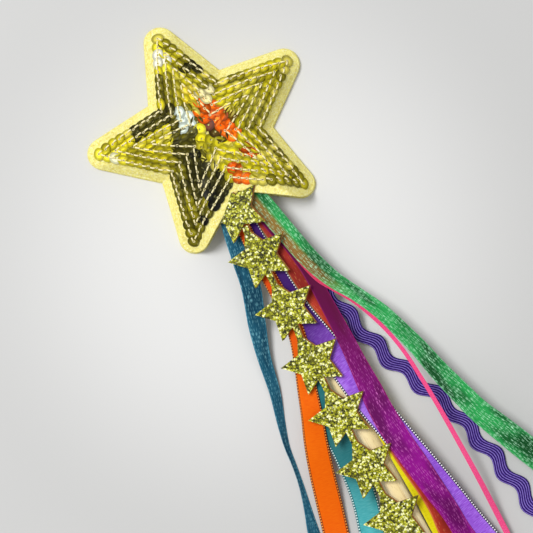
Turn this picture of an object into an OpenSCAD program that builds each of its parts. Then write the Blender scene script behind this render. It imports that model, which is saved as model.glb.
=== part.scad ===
// Toy magic wand: a puffed felt star with sequins on a wooden stick, with ribbons and a star trim.
// It lies on its back: +Z is the star's front, +Y points along the stick to the star's top point,
// and the origin is the middle of the star on the flat back felt. Millimetres.

/* [Star] */
// Middle of the star to the sharp corner of a point, before the point is rounded
star_point_r = 55; // [50:1:60]
// Middle of the star to a notch
star_notch_r = 25; // [23:0.5:27]
// Radius that rounds each point
star_tip_r = 6; // [5:0.5:7]
// Thickness of one felt
felt_t = 1.2; // [0.8:0.1:1.6]
// Width of the flat rim where the two felts are glued together
rim_w = 2; // [1.5:0.25:3]
// Height from the tack's head to the inside of the front felt
crown_room = 0.8; // [0.5:0.1:2]
// Room kept between the stuffing and what lies round it
stuffing_gap = 0.4; // [0.2:0.1:0.8]

/* [Stick] */
// Diameter of the wooden stick
stick_d = 8; // [6:0.5:9]
// Length of the stick
stick_len = 300; // [270:5:340]
// How far the stick reaches past the middle of the star
stick_in = 15; // [8:1:18]
// How far the stick's axis lies to the left of the star's middle
stick_shift = 1.2; // [0:0.1:2]
// Bevel on the stick's ends
stick_bevel = 0.6; // [0.2:0.1:1]
// Gap between the stick and the back felt
stick_seat = 0.1; // [0.05:0.05:0.3]

/* [Tack] */
// Diameter of the tack's shank
tack_d = 1.6; // [1.2:0.1:2]
// Diameter of the tack's head
tack_head_d = 4.5; // [3.5:0.5:6]
// Thickness of the tack's head
tack_head_t = 0.6; // [0.4:0.1:1]
// How deep the tack is driven into the stick
tack_depth = 4.5; // [3:0.5:5]
// Distance of the tack below the middle of the star
tack_drop = 10; // [8:0.5:12]
// Radial clearance of the tack in the ribbons
tack_play = 0.08; // [0.05:0.01:0.1]
// Radial clearance of the tack in the stick
tack_grip = 0.02; // [0.01:0.01:0.05]

/* [Ribbons] */
// Width of the standard ribbons
ribbon_w = 10; // [8:0.5:11]
// Width of the lavender ribbon over its dotted edges
lavender_w = 11.5; // [10:0.5:12]
// Width of the narrow pink ribbon
pink_w = 2.4; // [2:0.2:3]
// Thickness of a ribbon
ribbon_t = 0.2; // [0.15:0.05:0.3]
// Space between two ribbons that lie on each other
lay_gap = 0.1; // [0.08:0.02:0.14]
// Height of the lowest ribbon's end above the table
floor_gap = 0.15; // [0.1:0.05:0.4]
// Length of ribbon above the tack
tab_len = 4; // [3:0.5:5]
// Width of a ribbon's gathered end round the tack
tab_w = 4.5; // [3.6:0.1:5]
// How far the slanted end cut leads on one edge, as a slope
end_slant = 0.6; // [0:0.1:1]

/* [Ric-rac] */
// Width of the braid itself
ric_w = 5.8; // [4:0.2:6.2]
// Thickness of the braid
ric_t = 0.5; // [0.3:0.1:0.7]
// Height of one wave from the middle line
ric_wave = 1.5; // [1:0.1:1.8]
// Length of one wave
ric_period = 15.75; // [13:0.25:18]

/* [Star trim] */
// Middle of a trim star to its points
trim_r = 12.4; // [11:0.1:12.6]
// Middle of a trim star to its notches
trim_notch_r = 6.3; // [5.5:0.1:7]
// Distance between two trim stars
trim_pitch = 22.6; // [21.5:0.1:23]
// Thickness of the glitter layer
glitter_t = 0.6; // [0.4:0.1:1]
// Thickness of the brown backing
backing_t = 0.4; // [0.3:0.1:0.8]
// How far the backing is out of register to the right
backing_shift = 0.6; // [0:0.1:0.8]
// Width of the neck that joins two stars
neck_w = 2.2; // [1.6:0.1:3]
// Gap at the neck that bends between the glued star and the loose ones
neck_gap = 0.15; // [0.12:0.01:0.3]
// Number of loose stars below the glued one
trim_count = 9; // [6:1:10]
// Height of the trim above what lies under it
trim_gap = 0.15; // [0.1:0.05:0.3]

/* [Sequins] */
// Diameter of a sequin
sequin_d = 5; // [4.4:0.1:5.4]
// Thickness of a sequin
sequin_t = 0.1; // [0.08:0.01:0.12]
// Diameter of the hole in a sequin
sequin_hole_d = 1.1; // [0.9:0.1:1.4]
// How far one row of sequins laps over the next row
row_lap = 0.45; // [0.4:0.05:0.5]
// Width of bare felt outside the sequins
border_w = 3.4; // [3:0.2:4.5]
// Diameter of the stitching thread
thread_d = 0.7; // [0.5:0.1:0.8]
// Diameter of the knot of thread on a sequin
knot_d = 1.5; // [1.3:0.1:1.8]
// Height of a sequin above the felt that it rests on
sequin_lift = 0.4; // [0.36:0.02:0.5]

/* [Hidden] */

// The star's outline: half of one point spans 36 degrees, between its axis and a notch
half_turn = 36;
tip_half = atan(star_notch_r*sin(half_turn)/(star_point_r - star_notch_r*cos(half_turn)));
notch_half = 180 - half_turn - tip_half;
tip_centre = star_point_r - star_tip_r/sin(tip_half);
tip_span = atan2(star_tip_r*cos(tip_half), tip_centre + star_tip_r*sin(tip_half));
tip_steps = 3;
edge_steps = 4;
half_angles = concat(
    [for (i = [0:tip_steps]) tip_span*i/tip_steps],
    [for (i = [1:edge_steps - 1]) tip_span + (half_turn - tip_span)*i/edge_steps]
);
outline_angles = [for (k = [0:4]) each concat(
    [for (i = [0:len(half_angles) - 1]) 72*k + half_angles[i]],
    [72*k + half_turn],
    [for (i = [len(half_angles) - 1:-1:1]) 72*(k + 1) - half_angles[i]]
)];

// Angle from the nearest point's axis, for an angle counted from the top point
function fold(a) = abs((a + 5*360 + half_turn) % 72 - half_turn);

// Distance from the middle to the outline, at a folded angle
function outline_r(f) = f < tip_span
    ? tip_centre*cos(f) + sqrt(pow(star_tip_r, 2) - pow(tip_centre*sin(f), 2))
    : star_point_r*tan(tip_half)/(sin(f) + tan(tip_half)*cos(f));

// Place on the star at an angle counted from the top point
function on_star(a, r) = [r*sin(a), r*cos(a)];

function ease(t) = t <= 0 ? 0 : t >= 1 ? 1 : t*t*(3 - 2*t);

// Stick, and the stack of ribbons that starts on top of it
stick_r = stick_d/2;
stick_x = -stick_shift;
stick_z = felt_t + stick_seat + stick_r;
stick_top = stick_z + stick_r;
stick_end = stick_in - stick_len;
lay_pitch = ribbon_t + lay_gap;

// Height of the underside of a layer in a stack that has the ric-rac at the bottom
function stack_z(base, k) = base + (k == 0 ? 0 : ric_t + lay_gap + (k - 1)*lay_pitch);

top_layer = 9;
stack_base = stick_top + lay_gap;
stack_top = stack_z(stack_base, top_layer) + ribbon_t;
tack = [stick_x, -tack_drop];
head_z = stack_top + lay_gap;

// Inside height of the front felt: a dome that stays high towards the mouth over the stick
crown_z = head_z + tack_head_t + crown_room;
dome_h = crown_z - felt_t;
dome_power = 2.4;
dome_bend = 0.75;
mouth_full = 24;
mouth_end = 35;
function dome(share) = pow(1 - pow(min(share, 1), dome_power), dome_bend);
function mouth(x, y) = ease((mouth_end - abs(atan2(x, -y)))/(mouth_end - mouth_full));
function felt_in(x, y) = let (
    edge = outline_r(fold(atan2(x, y))) - rim_w,
    fall = (1 - mouth(x, y))*(1 - dome(norm([x, y])/edge))
) felt_t + dome_h*(1 - fall);
function felt_out(x, y) = felt_in(x, y) + felt_t;

// Closed solid between two height fields over the star, shrunk from its outline by an inset
ring_shares = [0.25, 0.5, 0.7, 0.86, 1];
function star_grid(inset) = concat([[0, 0]], [for (share = ring_shares) each
    [for (a = outline_angles) on_star(a, share*(outline_r(fold(a)) - inset))]
]);
function star_shell_faces(rings) = let (n = len(outline_angles), half = 1 + rings*n) concat(
    [for (i = [0:n - 1]) each let (j = (i + 1) % n) [[0, 1 + i, 1 + j], [half, half + 1 + j, half + 1 + i]]],
    [for (k = [0:rings - 2], i = [0:n - 1]) each let (
        j = (i + 1) % n,
        a = 1 + k*n + i, b = 1 + k*n + j, c = a + n, d = b + n
    ) [[a, c, d], [a, d, b], [half + a, half + d, half + c], [half + a, half + b, half + d]]],
    [for (i = [0:n - 1]) each let (
        j = (i + 1) % n,
        a = 1 + (rings - 1)*n + i, b = 1 + (rings - 1)*n + j
    ) [[a, half + a, half + b], [a, half + b, b]]]
);

module star_outline() {
    polygon([for (a = outline_angles) on_star(a, outline_r(fold(a)))]);
}

module front_felt() {
    inner = star_grid(rim_w);
    rim = [for (a = outline_angles) on_star(a, outline_r(fold(a)))];
    plan = concat(inner, rim);
    color("#f0e28a")
        polyhedron(
            points = concat(
                [for (p = plan) [p[0], p[1], felt_out(p[0], p[1])]],
                [for (p = plan) [p[0], p[1], felt_in(p[0], p[1])]]
            ),
            faces = star_shell_faces(len(ring_shares) + 1),
            convexity = 6
        );
}

module back_felt() {
    color("#f0e28a") linear_extrude(felt_t) star_outline();
}

// Wadding on both sides of the stick: it stays under the ribbons and inside the front felt
stuffing_inset = rim_w + 2*felt_t;
stuffing_limit = stick_top - stuffing_gap;
stuffing_rise = 0.5;
module stuffing() {
    plan = star_grid(stuffing_inset);
    base = felt_t + stick_seat;
    function top(p) = max(base + stuffing_gap,
        min(felt_in(p[0], p[1]) - 2*stuffing_gap, stuffing_limit + stuffing_rise*max(0, p[1])));
    color("#f4f2ec")
        difference() {
            polyhedron(
                points = concat(
                    [for (p = plan) [p[0], p[1], top(p)]],
                    [for (p = plan) [p[0], p[1], base]]
                ),
                faces = star_shell_faces(len(ring_shares)),
                convexity = 6
            );
            translate([stick_x, stick_in + stuffing_gap, stick_z])
                rotate([90, 0, 0]) cylinder(r = stick_r + stuffing_gap, h = stick_len, $fn = 64);
            translate([stick_x - stick_r - stuffing_gap, stick_in + stuffing_gap - stick_len, stick_z])
                cube([stick_d + 2*stuffing_gap, stick_len, crown_z]);
        }
}

module dowel() {
    color("#dcc08a")
        difference() {
            translate([stick_x, stick_in, stick_z])
                rotate([90, 0, 0])
                rotate_extrude($fn = 64)
                polygon([
                    [0, 0], [stick_r - stick_bevel, 0], [stick_r, stick_bevel],
                    [stick_r, stick_len - stick_bevel], [stick_r - stick_bevel, stick_len], [0, stick_len]
                ]);
            translate([tack[0], tack[1], stick_top - tack_depth])
                cylinder(d = tack_d + 2*tack_grip, h = tack_depth + 1, $fn = 32);
        }
}

module ribbon_tack() {
    color("#c9ccd0") {
        translate([tack[0], tack[1], stick_top - tack_depth])
            cylinder(d = tack_d, h = head_z - stick_top + tack_depth, $fn = 32);
        translate([tack[0], tack[1], head_z])
            cylinder(d = tack_head_d, h = tack_head_t, $fn = 32);
    }
}

// Sequin rows: row n is the star's outline drawn in by a fixed distance, with sequins along each edge
row_space = sequin_d - row_lap;
sequin_clear = 0.1;
tip_free = (sequin_d + sequin_clear)/2/sin(tip_half);
notch_free = 1.24*sequin_d/2/sin(notch_half);
row_tilt = 6*sequin_t/row_space;
edge_tilt = 3*sequin_t;
tip_lift = 3.5*sequin_t;
middle_lift = 2.2*tip_lift;

function row_inset(n) = border_w + sequin_d/2 + (n - 1)*row_space;
function row_tip(n) = star_point_r - row_inset(n)/sin(tip_half);
function row_notch(n) = star_notch_r - row_inset(n)/sin(notch_half);

// Sequins on each edge of a row, between the one on the point's axis and the notch, fewer beside the mouth
edge_counts = [5, 3, 1, 0];
mouth_counts = [4, 2, 1, 0];
function beside_mouth(k, side) = (k == 2 && side == 1) || (k == 3 && side == -1);

// Places in one row: [x, y, direction that the sequins lap in, tilt that lets them lap, extra lift]
function edge_places(n, k, side) = let (
    a = on_star(72*k, row_tip(n)),
    b = on_star(72*k + side*half_turn, row_notch(n)),
    run = norm(b - a),
    room = run - tip_free - notch_free,
    count = beside_mouth(k, side) ? mouth_counts[n - 1] : edge_counts[n - 1],
    pitch = room/max(count - 1, 1),
    along = (b - a)/run
) [for (i = [0:1:count - 1]) let (
    p = a + along*(tip_free + pitch*i)
) [p[0], p[1], atan2(along[1], along[0]), edge_tilt/pitch, 0]];
function row_places(n) = concat(
    [for (k = [0:4]) each concat(edge_places(n, k, 1), edge_places(n, k, -1))],
    [for (k = [0:4]) let (p = on_star(72*k, row_tip(n))) [p[0], p[1], 270 - 72*k, 0, tip_lift]],
    n == 4 ? [[0, 0, 270, 0, middle_lift]] : []
);

// Lean of a sequin's axis at a place: away from the felt's slope, and over the sequins that it laps
slope_step = 1;
function lean(place) = let (
    x = place[0],
    y = place[1],
    gx = (felt_out(x + slope_step, y) - felt_out(x - slope_step, y))/(2*slope_step),
    gy = (felt_out(x, y + slope_step) - felt_out(x, y - slope_step))/(2*slope_step),
    inward = -[x, y]/max(norm([x, y]), 0.01)
) [-gx, -gy] + place[3]*[cos(place[2]), sin(place[2])] + row_tilt*inward;

// Height of a sequin along its axis: clear of the felt all round its rim
rim_step = 30;
function rim_rise(place) = let (
    tip = lean(place),
    cosine = 1/sqrt(1 + tip*tip),
    reach = 0.485*sequin_d
) max([for (w = [0:rim_step:359]) let (
    d = reach*[cos(w), sin(w)]
) (felt_out(place[0] + d[0], place[1] + d[1]) - felt_out(place[0], place[1]) + tip*d)*cosine]);
function stand(place) = sequin_lift + place[4] + max(0, rim_rise(place));

// Stands its children on the front felt at a place of a row, turned to the felt and lapped
module on_felt(place) {
    tip = lean(place);
    translate([place[0], place[1], felt_out(place[0], place[1])])
        rotate([0, atan(norm(tip)), atan2(tip[1], tip[0])])
        children();
}

module sequin_row(n) {
    color("#8f8a12")
        for (place = row_places(n))
            on_felt(place)
            translate([0, 0, stand(place) - sequin_t/2])
            difference() {
                cylinder(d = sequin_d, h = sequin_t, $fn = 32);
                translate([0, 0, -sequin_t]) cylinder(d = sequin_hole_d, h = 3*sequin_t, $fn = 24);
            }
}

module stitch_row(n) {
    color("#f1ead0")
        for (place = row_places(n))
            on_felt(place) {
                translate([0, 0, sequin_clear])
                    cylinder(d = thread_d, h = stand(place) + sequin_t/2, $fn = 16);
                translate([0, 0, stand(place) + sequin_t/2 + sequin_clear/2])
                    cylinder(d = knot_d, h = thread_d/2, $fn = 20);
            }
}

module sequins_row_1() { sequin_row(1); }
module sequins_row_2() { sequin_row(2); }
module sequins_row_3() { sequin_row(3); }
module sequins_row_4() { sequin_row(4); }
module stitches_row_1() { stitch_row(1); }
module stitches_row_2() { stitch_row(2); }
module stitches_row_3() { stitch_row(3); }
module stitches_row_4() { stitch_row(4); }

// Ribbons: [layer on the stick, layer on the table, distance from the tack where it leaves the stick's
// height, distance where it lands]
ric_lay = [0, 0, 55, 115];
yellow_lay = [1, 1, 126, 200];
copper_lay = [2, 2, 126, 200];
teal_lay = [3, 0, 28, 110];
turquoise_lay = [4, 1, 100, 150];
lavender_lay = [5, 3, 126, 200];
orange_lay = [6, 2, 100, 155];
magenta_lay = [7, 4, 126, 200];
pink_lay = [8, 5, 126, 200];
green_lay = [9, 6, 126, 200];

// Height of a ribbon's underside depends only on the distance from the tack, so ribbons swing clear
function lay_z(lay, p) = let (
    high = stack_z(stack_base, lay[0]),
    low = stack_z(floor_gap, lay[1])
) high - (high - low)*ease((norm(p - tack) - lay[2])/(lay[3] - lay[2]));

// Routes below the tack: [x, y, share of the full width that lies flat]
ric_route = [
    [2.8, -24, 0.7], [5.6, -44, 0.8], [8.8, -62, 1], [11.6, -76, 1], [14.8, -90, 1], [18.8, -104, 1],
    [24.2, -118, 1], [30.6, -133, 1], [34.8, -147, 1], [38.4, -163, 1], [41.2, -178, 1],
    [43.6, -195, 1], [45.2, -216, 1]
];
yellow_route = [
    [2, -24, 0.4], [4.6, -40, 0.45], [5.8, -52, 0.46], [6.2, -64, 0.5], [6.8, -76, 0.58],
    [7.8, -90, 0.75], [8.6, -104, 0.9], [8.6, -118, 1], [8.3, -132, 1], [8.2, -146, 1], [8.2, -160, 1],
    [8.2, -176, 1], [8.2, -195, 1], [8.2, -216, 1]
];
copper_route = [
    [0.8, -24, 0.4], [2.8, -40, 0.45], [4, -50, 0.45], [4.7, -61, 0.58], [5.3, -68, 0.62],
    [6.6, -76, 0.64], [8.6, -86, 0.64], [9.5, -98, 0.7], [9.6, -112, 0.85], [9.8, -128, 1],
    [10.6, -145, 1], [11.3, -160, 1], [11, -169, 1], [10.2, -178, 1], [9.4, -192, 1], [8.6, -208, 1],
    [8.6, -226, 1]
];
teal_route = [
    [-6.2, -24, 0.6], [-9, -36, 0.72], [-11.2, -48, 0.76], [-13.4, -60, 0.76], [-18.3, -74, 0.68],
    [-21.8, -86, 0.52], [-24.6, -100, 0.42], [-28.2, -112, 0.3], [-30.5, -121, 0.18],
    [-31.5, -129, 0.15], [-32.8, -137, 0.17], [-34.9, -146, 0.28], [-37.2, -155, 0.45],
    [-40.5, -170, 0.7], [-43, -188, 0.9], [-44, -208, 1], [-43.6, -228, 1]
];
turquoise_route = [
    [-2, -26, 0.5], [-2.4, -45, 0.6], [-2.9, -61, 0.7], [-3.6, -75, 0.75], [-5.6, -90, 0.8],
    [-9.4, -104, 0.9], [-11, -118, 1], [-11.4, -133, 1], [-12.6, -146, 1], [-14.2, -155, 1],
    [-17, -165, 1], [-20.5, -178, 1], [-24, -195, 1], [-27, -214, 1], [-28.5, -230, 1]
];
lavender_route = [
    [-2.2, -24, 0.45], [-2.6, -42, 0.55], [-2.6, -62, 0.72], [-1.8, -76, 0.85], [0.6, -90, 0.95],
    [3.5, -104, 1], [5.2, -116, 1], [7.8, -129, 1], [10.7, -143, 1], [13.2, -155, 1], [15.4, -166, 1],
    [17.6, -178, 1], [20.2, -190, 1], [23.4, -205, 1], [26.4, -222, 1], [28.4, -236, 1]
];
orange_route = [
    [-3.4, -24, 0.45], [-5, -40, 0.55], [-5.4, -55, 0.6], [-5.3, -70, 0.62], [-6.2, -83, 0.66],
    [-9.3, -94, 0.7], [-12.8, -104, 0.76], [-16.1, -114, 0.84], [-19.7, -124, 0.92],
    [-23.1, -135, 0.97], [-26.3, -147, 1], [-29.3, -158, 1], [-33, -170, 1], [-37, -186, 1],
    [-40.5, -205, 1], [-43, -222, 1]
];
magenta_route = [
    [1.2, -26, 0.45], [5.2, -45, 0.44], [7.4, -54, 0.44], [9, -65, 0.5], [9.3, -79, 0.56],
    [9.2, -95, 0.64], [8.8, -106, 0.74], [8.5, -116, 0.88], [8.2, -127, 0.95], [9, -139, 0.95],
    [10.4, -150, 0.92], [11.8, -162, 0.84], [13, -171, 0.76], [13.6, -180, 0.74], [14.3, -192, 0.95],
    [15.5, -206, 1], [16.6, -222, 1], [17.4, -236, 1]
];
pink_route = [
    [2.6, -24, 0.5], [5.4, -40, 0.5], [6.8, -52, 0.5], [7.8, -60, 0.5], [10.2, -69, 0.5],
    [14, -75.5, 0.52], [18.3, -82.5, 0.55], [21.6, -90, 0.58], [24.6, -99, 0.62], [26.6, -109, 0.65],
    [27.6, -121, 0.68], [28.2, -133, 0.72], [28.6, -150, 0.8], [28.8, -170, 0.88], [28.6, -190, 0.95],
    [28, -210, 1], [27, -232, 1]
];
green_route = [
    [3.6, -24, 0.66], [5.7, -34, 0.8], [8.5, -47, 0.78], [11.4, -60, 0.76], [15.6, -71.5, 0.66],
    [20.9, -81, 0.56], [25.9, -91, 0.6], [28.6, -98.7, 0.63], [32, -110, 0.68], [34.8, -122, 0.76],
    [38, -133, 0.83], [40.9, -142.5, 0.88], [45, -152, 0.95], [49.3, -162, 1], [54, -173, 1],
    [59, -187, 1], [63, -204, 1], [65.5, -224, 1]
];

// Smooth curve through a list of points, and the lengths along it
function between(a, b, c, d, t) = 0.5*(2*b + (c - a)*t + (2*a - 5*b + 4*c - d)*t*t
    + (3*b - a - 3*c + d)*t*t*t);
function curve(pts, steps) = let (n = len(pts)) concat([for (i = [0:n - 2], j = [0:steps - 1])
    between(pts[max(i - 1, 0)], pts[i], pts[i + 1], pts[min(i + 2, n - 1)], j/steps)], [pts[n - 1]]);
function xy(p) = [p[0], p[1]];
function heading(pts, i) = let (
    d = xy(pts[min(i + 1, len(pts) - 1)]) - xy(pts[max(i - 1, 0)])
) d/norm(d);
function lengths(pts) = [for (i = 0, s = 0; i < len(pts); s = s + (i + 1 < len(pts)
    ? norm(xy(pts[i + 1]) - xy(pts[i])) : 0), i = i + 1) s];

// Flat band along a route, with its two edges moved sideways by a wave
module band(route, lay, w, t, steps, wave = 0, period = 1) {
    pts = curve(concat(
        [[tack[0], tack[1] + tab_len, tab_w], [tack[0], tack[1], tab_w]],
        [for (p = route) [p[0], p[1], p[2]*w]]
    ), steps);
    n = len(pts);
    run = lengths(pts);
    rings = [for (i = [0:n - 1]) let (
        dir = heading(pts, i),
        side = [-dir[1], dir[0]],
        sway = wave*sin(360*run[i]/period)*ease((run[i] - 4*tab_len)/(4*tab_len)),
        half = min(pts[i][2], max(w, tab_w))/2,
        lead = i == n - 1 ? dir*end_slant*half : [0, 0],
        left = xy(pts[i]) + side*(sway + half) - lead,
        right = xy(pts[i]) + side*(sway - half) + lead
    ) each [
        [left[0], left[1], lay_z(lay, left)],
        [right[0], right[1], lay_z(lay, right)],
        [right[0], right[1], lay_z(lay, right) + t],
        [left[0], left[1], lay_z(lay, left) + t]
    ]];
    difference() {
        polyhedron(
            points = rings,
            faces = concat(
                [[0, 1, 2], [0, 2, 3]],
                [for (i = [0:n - 2], k = [0:3]) each let (a = 4*i + k, b = 4*i + (k + 1) % 4)
                    [[a, a + 4, b + 4], [a, b + 4, b]]],
                [[4*n - 2, 4*n - 3, 4*n - 4], [4*n - 1, 4*n - 2, 4*n - 4]]
            ),
            convexity = 10
        );
        translate([tack[0], tack[1], stack_z(stack_base, lay[0]) - 1])
            cylinder(d = tack_d + 2*tack_play, h = t + 2, $fn = 32);
    }
}

ribbon_steps = 3;
ric_steps = 6;
module ric_rac() {
    color("#3d2273") band(ric_route, ric_lay, ric_w, ric_t, ric_steps, ric_wave, ric_period);
}
module yellow_ribbon() {
    color("#f2d800") band(yellow_route, yellow_lay, ribbon_w, ribbon_t, ribbon_steps);
}
module copper_ribbon() {
    color("#d2593a") band(copper_route, copper_lay, ribbon_w, ribbon_t, ribbon_steps);
}
module teal_ribbon() {
    color("#2b7f96") band(teal_route, teal_lay, ribbon_w, ribbon_t, ribbon_steps);
}
module turquoise_ribbon() {
    color("#2fa5a8") band(turquoise_route, turquoise_lay, ribbon_w, ribbon_t, ribbon_steps);
}
module lavender_ribbon() {
    color("#8a5fd6") band(lavender_route, lavender_lay, lavender_w, ribbon_t, ribbon_steps);
}
module orange_ribbon() {
    color("#f57a10") band(orange_route, orange_lay, ribbon_w, ribbon_t, ribbon_steps);
}
module magenta_ribbon() {
    color("#9a1f8a") band(magenta_route, magenta_lay, ribbon_w, ribbon_t, ribbon_steps);
}
module pink_ribbon() {
    color("#ef5a8a") band(pink_route, pink_lay, pink_w, ribbon_t, ribbon_steps);
}
module green_ribbon() {
    color("#3a9a52") band(green_route, green_lay, ribbon_w, ribbon_t, ribbon_steps);
}

// Star trim: the first star is glued on the felt in the notch, the others hang on below it
trim_first = [-5, -star_notch_r - 6.1];
trim_first_turn = -6.5;
trim_offset = 3.4;
trim_xs = [-4.8, -5.2, -6.2, -6.5, -6.8, -6.9, -7, -7.1, -7.2, -7.2];
trim_on_felt = crown_z + felt_t + trim_gap;
trim_crotch = trim_first + on_star(180 + trim_first_turn, trim_notch_r);
neck_slope = atan((trim_r*sin(half_turn + 18) - trim_notch_r)/(trim_r*sin(half_turn)));
neck_dip = neck_w/2*tan(neck_slope + abs(trim_first_turn));
trim_hinge = trim_crotch - [0, neck_dip + neck_gap];
trim_fall = (trim_on_felt - stack_top - trim_gap)/(tack_drop + lavender_lay[2] + trim_hinge[1]);
function trim_place(k) = [trim_xs[k - 1], -star_notch_r - trim_offset - k*trim_pitch];

module trim_star_plan(turn = 0) {
    polygon([for (i = [0:9]) on_star(half_turn*i + turn, i % 2 == 0 ? trim_r : trim_notch_r)]);
}

// Neck from the notch of one star to the top point of the next
module trim_neck(from, to) {
    half = [neck_w/2, 0];
    polygon([from - half, from + half, to + half, to - half]);
}

// The glued star has its left part cut off along the edge of the felt
trim_cut_angle = 43;
trim_cut_reach = 3.3;
module trim_top(t, z) {
    translate([trim_first[0], trim_first[1], z])
        difference() {
            linear_extrude(t) trim_star_plan(trim_first_turn);
            rotate([0, 0, trim_cut_angle])
                translate([-2*trim_r, trim_cut_reach, -t]) cube([4*trim_r, 2*trim_r, 3*t]);
        }
}

// The loose stars lie in one plane that falls from the felt towards the stick
module trim_chain(t, lift) {
    translate([trim_hinge[0], trim_hinge[1], trim_on_felt])
        rotate([atan(trim_fall), 0, 0])
        translate([-trim_hinge[0], -trim_hinge[1], lift])
        linear_extrude(t) {
            for (k = [1:trim_count]) {
                translate(trim_place(k)) trim_star_plan();
                trim_neck(
                    k == 1 ? trim_hinge : trim_place(k - 1) - [0, trim_notch_r - neck_w/2],
                    trim_place(k) + [0, trim_r - neck_w]
                );
            }
        }
}

module trim_top_star() {
    color("#b9b23a") trim_top(glitter_t, trim_on_felt + backing_t);
}
module trim_top_backing() {
    color("#6b4a1c") translate([backing_shift, 0, 0]) trim_top(backing_t, trim_on_felt);
}
module trim_stars() {
    color("#b9b23a") trim_chain(glitter_t, backing_t);
}
module trim_backing() {
    color("#6b4a1c") translate([backing_shift, 0, 0]) trim_chain(backing_t, 0);
}

dowel();
back_felt();
front_felt();
stuffing();
ribbon_tack();
sequins_row_1();
sequins_row_2();
sequins_row_3();
sequins_row_4();
stitches_row_1();
stitches_row_2();
stitches_row_3();
stitches_row_4();
trim_top_star();
trim_top_backing();
trim_stars();
trim_backing();
ric_rac();
yellow_ribbon();
copper_ribbon();
teal_ribbon();
turquoise_ribbon();
lavender_ribbon();
orange_ribbon();
magenta_ribbon();
pink_ribbon();
green_ribbon();
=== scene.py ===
"""Looks of the toy magic wand: a puffed felt star with sequins on a stick, with ribbons and a star trim."""

import logging
import math
from dataclasses import dataclass, field
from enum import Enum
from typing import Any, Optional, Protocol, Union

import bmesh
import bpy
import numpy as np
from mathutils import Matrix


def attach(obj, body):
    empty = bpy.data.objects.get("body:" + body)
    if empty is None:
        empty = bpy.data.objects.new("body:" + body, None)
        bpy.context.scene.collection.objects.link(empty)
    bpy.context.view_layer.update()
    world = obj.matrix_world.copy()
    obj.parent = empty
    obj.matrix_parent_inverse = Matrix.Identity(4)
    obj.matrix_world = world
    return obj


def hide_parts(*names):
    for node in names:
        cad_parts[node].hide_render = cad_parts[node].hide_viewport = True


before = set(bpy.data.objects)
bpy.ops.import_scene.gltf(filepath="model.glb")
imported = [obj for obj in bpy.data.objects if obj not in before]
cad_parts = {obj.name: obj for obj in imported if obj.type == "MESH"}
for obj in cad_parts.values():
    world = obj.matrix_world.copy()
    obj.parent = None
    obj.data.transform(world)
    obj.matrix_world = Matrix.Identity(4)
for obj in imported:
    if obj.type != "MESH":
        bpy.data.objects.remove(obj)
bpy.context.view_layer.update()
MM = 0.001
log = logging.getLogger("wand")


def hue(code: str) -> tuple[float, float, float, float]:
    """Turns a written colour into the linear one that a shader takes.

    Args:
        code: Six hexadecimal digits after a hash sign.

    Returns:
        Red, green, blue and an alpha of 1.
    """
    parts = [int(code[i:i + 2], 16) / 255 for i in (1, 3, 5)]
    linear = [c / 12.92 if c <= 0.04045 else ((c + 0.055) / 1.055) ** 2.4 for c in parts]
    return (linear[0], linear[1], linear[2], 1.0)


# Shader tools


class Wire:
    """A socket in a material: arithmetic on it adds Math nodes."""

    def __init__(self, paint: "Paint", socket: bpy.types.NodeSocket) -> None:
        """Keeps the material that the socket is in."""
        self.paint = paint
        self.socket = socket

    def _math(self, operation: str, *values: Any) -> "Wire":
        """Adds one Math node.

        Args:
            operation: Blender's name of the operation.
            values: Its inputs in order, wires or numbers.

        Returns:
            The result's wire.
        """
        return self.paint.node("ShaderNodeMath", {"operation": operation}, dict(enumerate(values)))

    def __add__(self, other: Any) -> "Wire":
        """This plus other."""
        return self._math("ADD", self, other)

    def __radd__(self, other: Any) -> "Wire":
        """Other plus this."""
        return self._math("ADD", other, self)

    def __sub__(self, other: Any) -> "Wire":
        """This less other."""
        return self._math("SUBTRACT", self, other)

    def __rsub__(self, other: Any) -> "Wire":
        """Other less this."""
        return self._math("SUBTRACT", other, self)

    def __mul__(self, other: Any) -> "Wire":
        """This times other."""
        return self._math("MULTIPLY", self, other)

    def __rmul__(self, other: Any) -> "Wire":
        """Other times this."""
        return self._math("MULTIPLY", other, self)

    def __truediv__(self, other: Any) -> "Wire":
        """This over other."""
        return self._math("DIVIDE", self, other)

    def __abs__(self) -> "Wire":
        """Size without sign."""
        return self._math("ABSOLUTE", self)

    def wave(self) -> "Wire":
        """Sine of this."""
        return self._math("SINE", self)

    def part(self) -> "Wire":
        """Fractional part."""
        return self._math("FRACT", self)

    def root(self) -> "Wire":
        """Square root."""
        return self._math("SQRT", self)

    def most(self, other: Any) -> "Wire":
        """The greater of this and other."""
        return self._math("MAXIMUM", self, other)

    def beside(self, out: Union[int, str]) -> "Wire":
        """Another output of the same node."""
        return Wire(self.paint, self.socket.node.outputs[out])

    def fade(self, low: float, high: float) -> "Wire":
        """Smooth step that is 0 at low and 1 at high.

        Args:
            low: Where the step starts.
            high: Where the step ends; it may be below low.

        Returns:
            The step's wire.
        """
        span = {"interpolation_type": "SMOOTHSTEP"}
        if low <= high:
            return self.paint.node("ShaderNodeMapRange", span, {0: self, 1: low, 2: high, 3: 0.0, 4: 1.0})
        return self.paint.node("ShaderNodeMapRange", span, {0: self, 1: high, 2: low, 3: 1.0, 4: 0.0})


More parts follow.
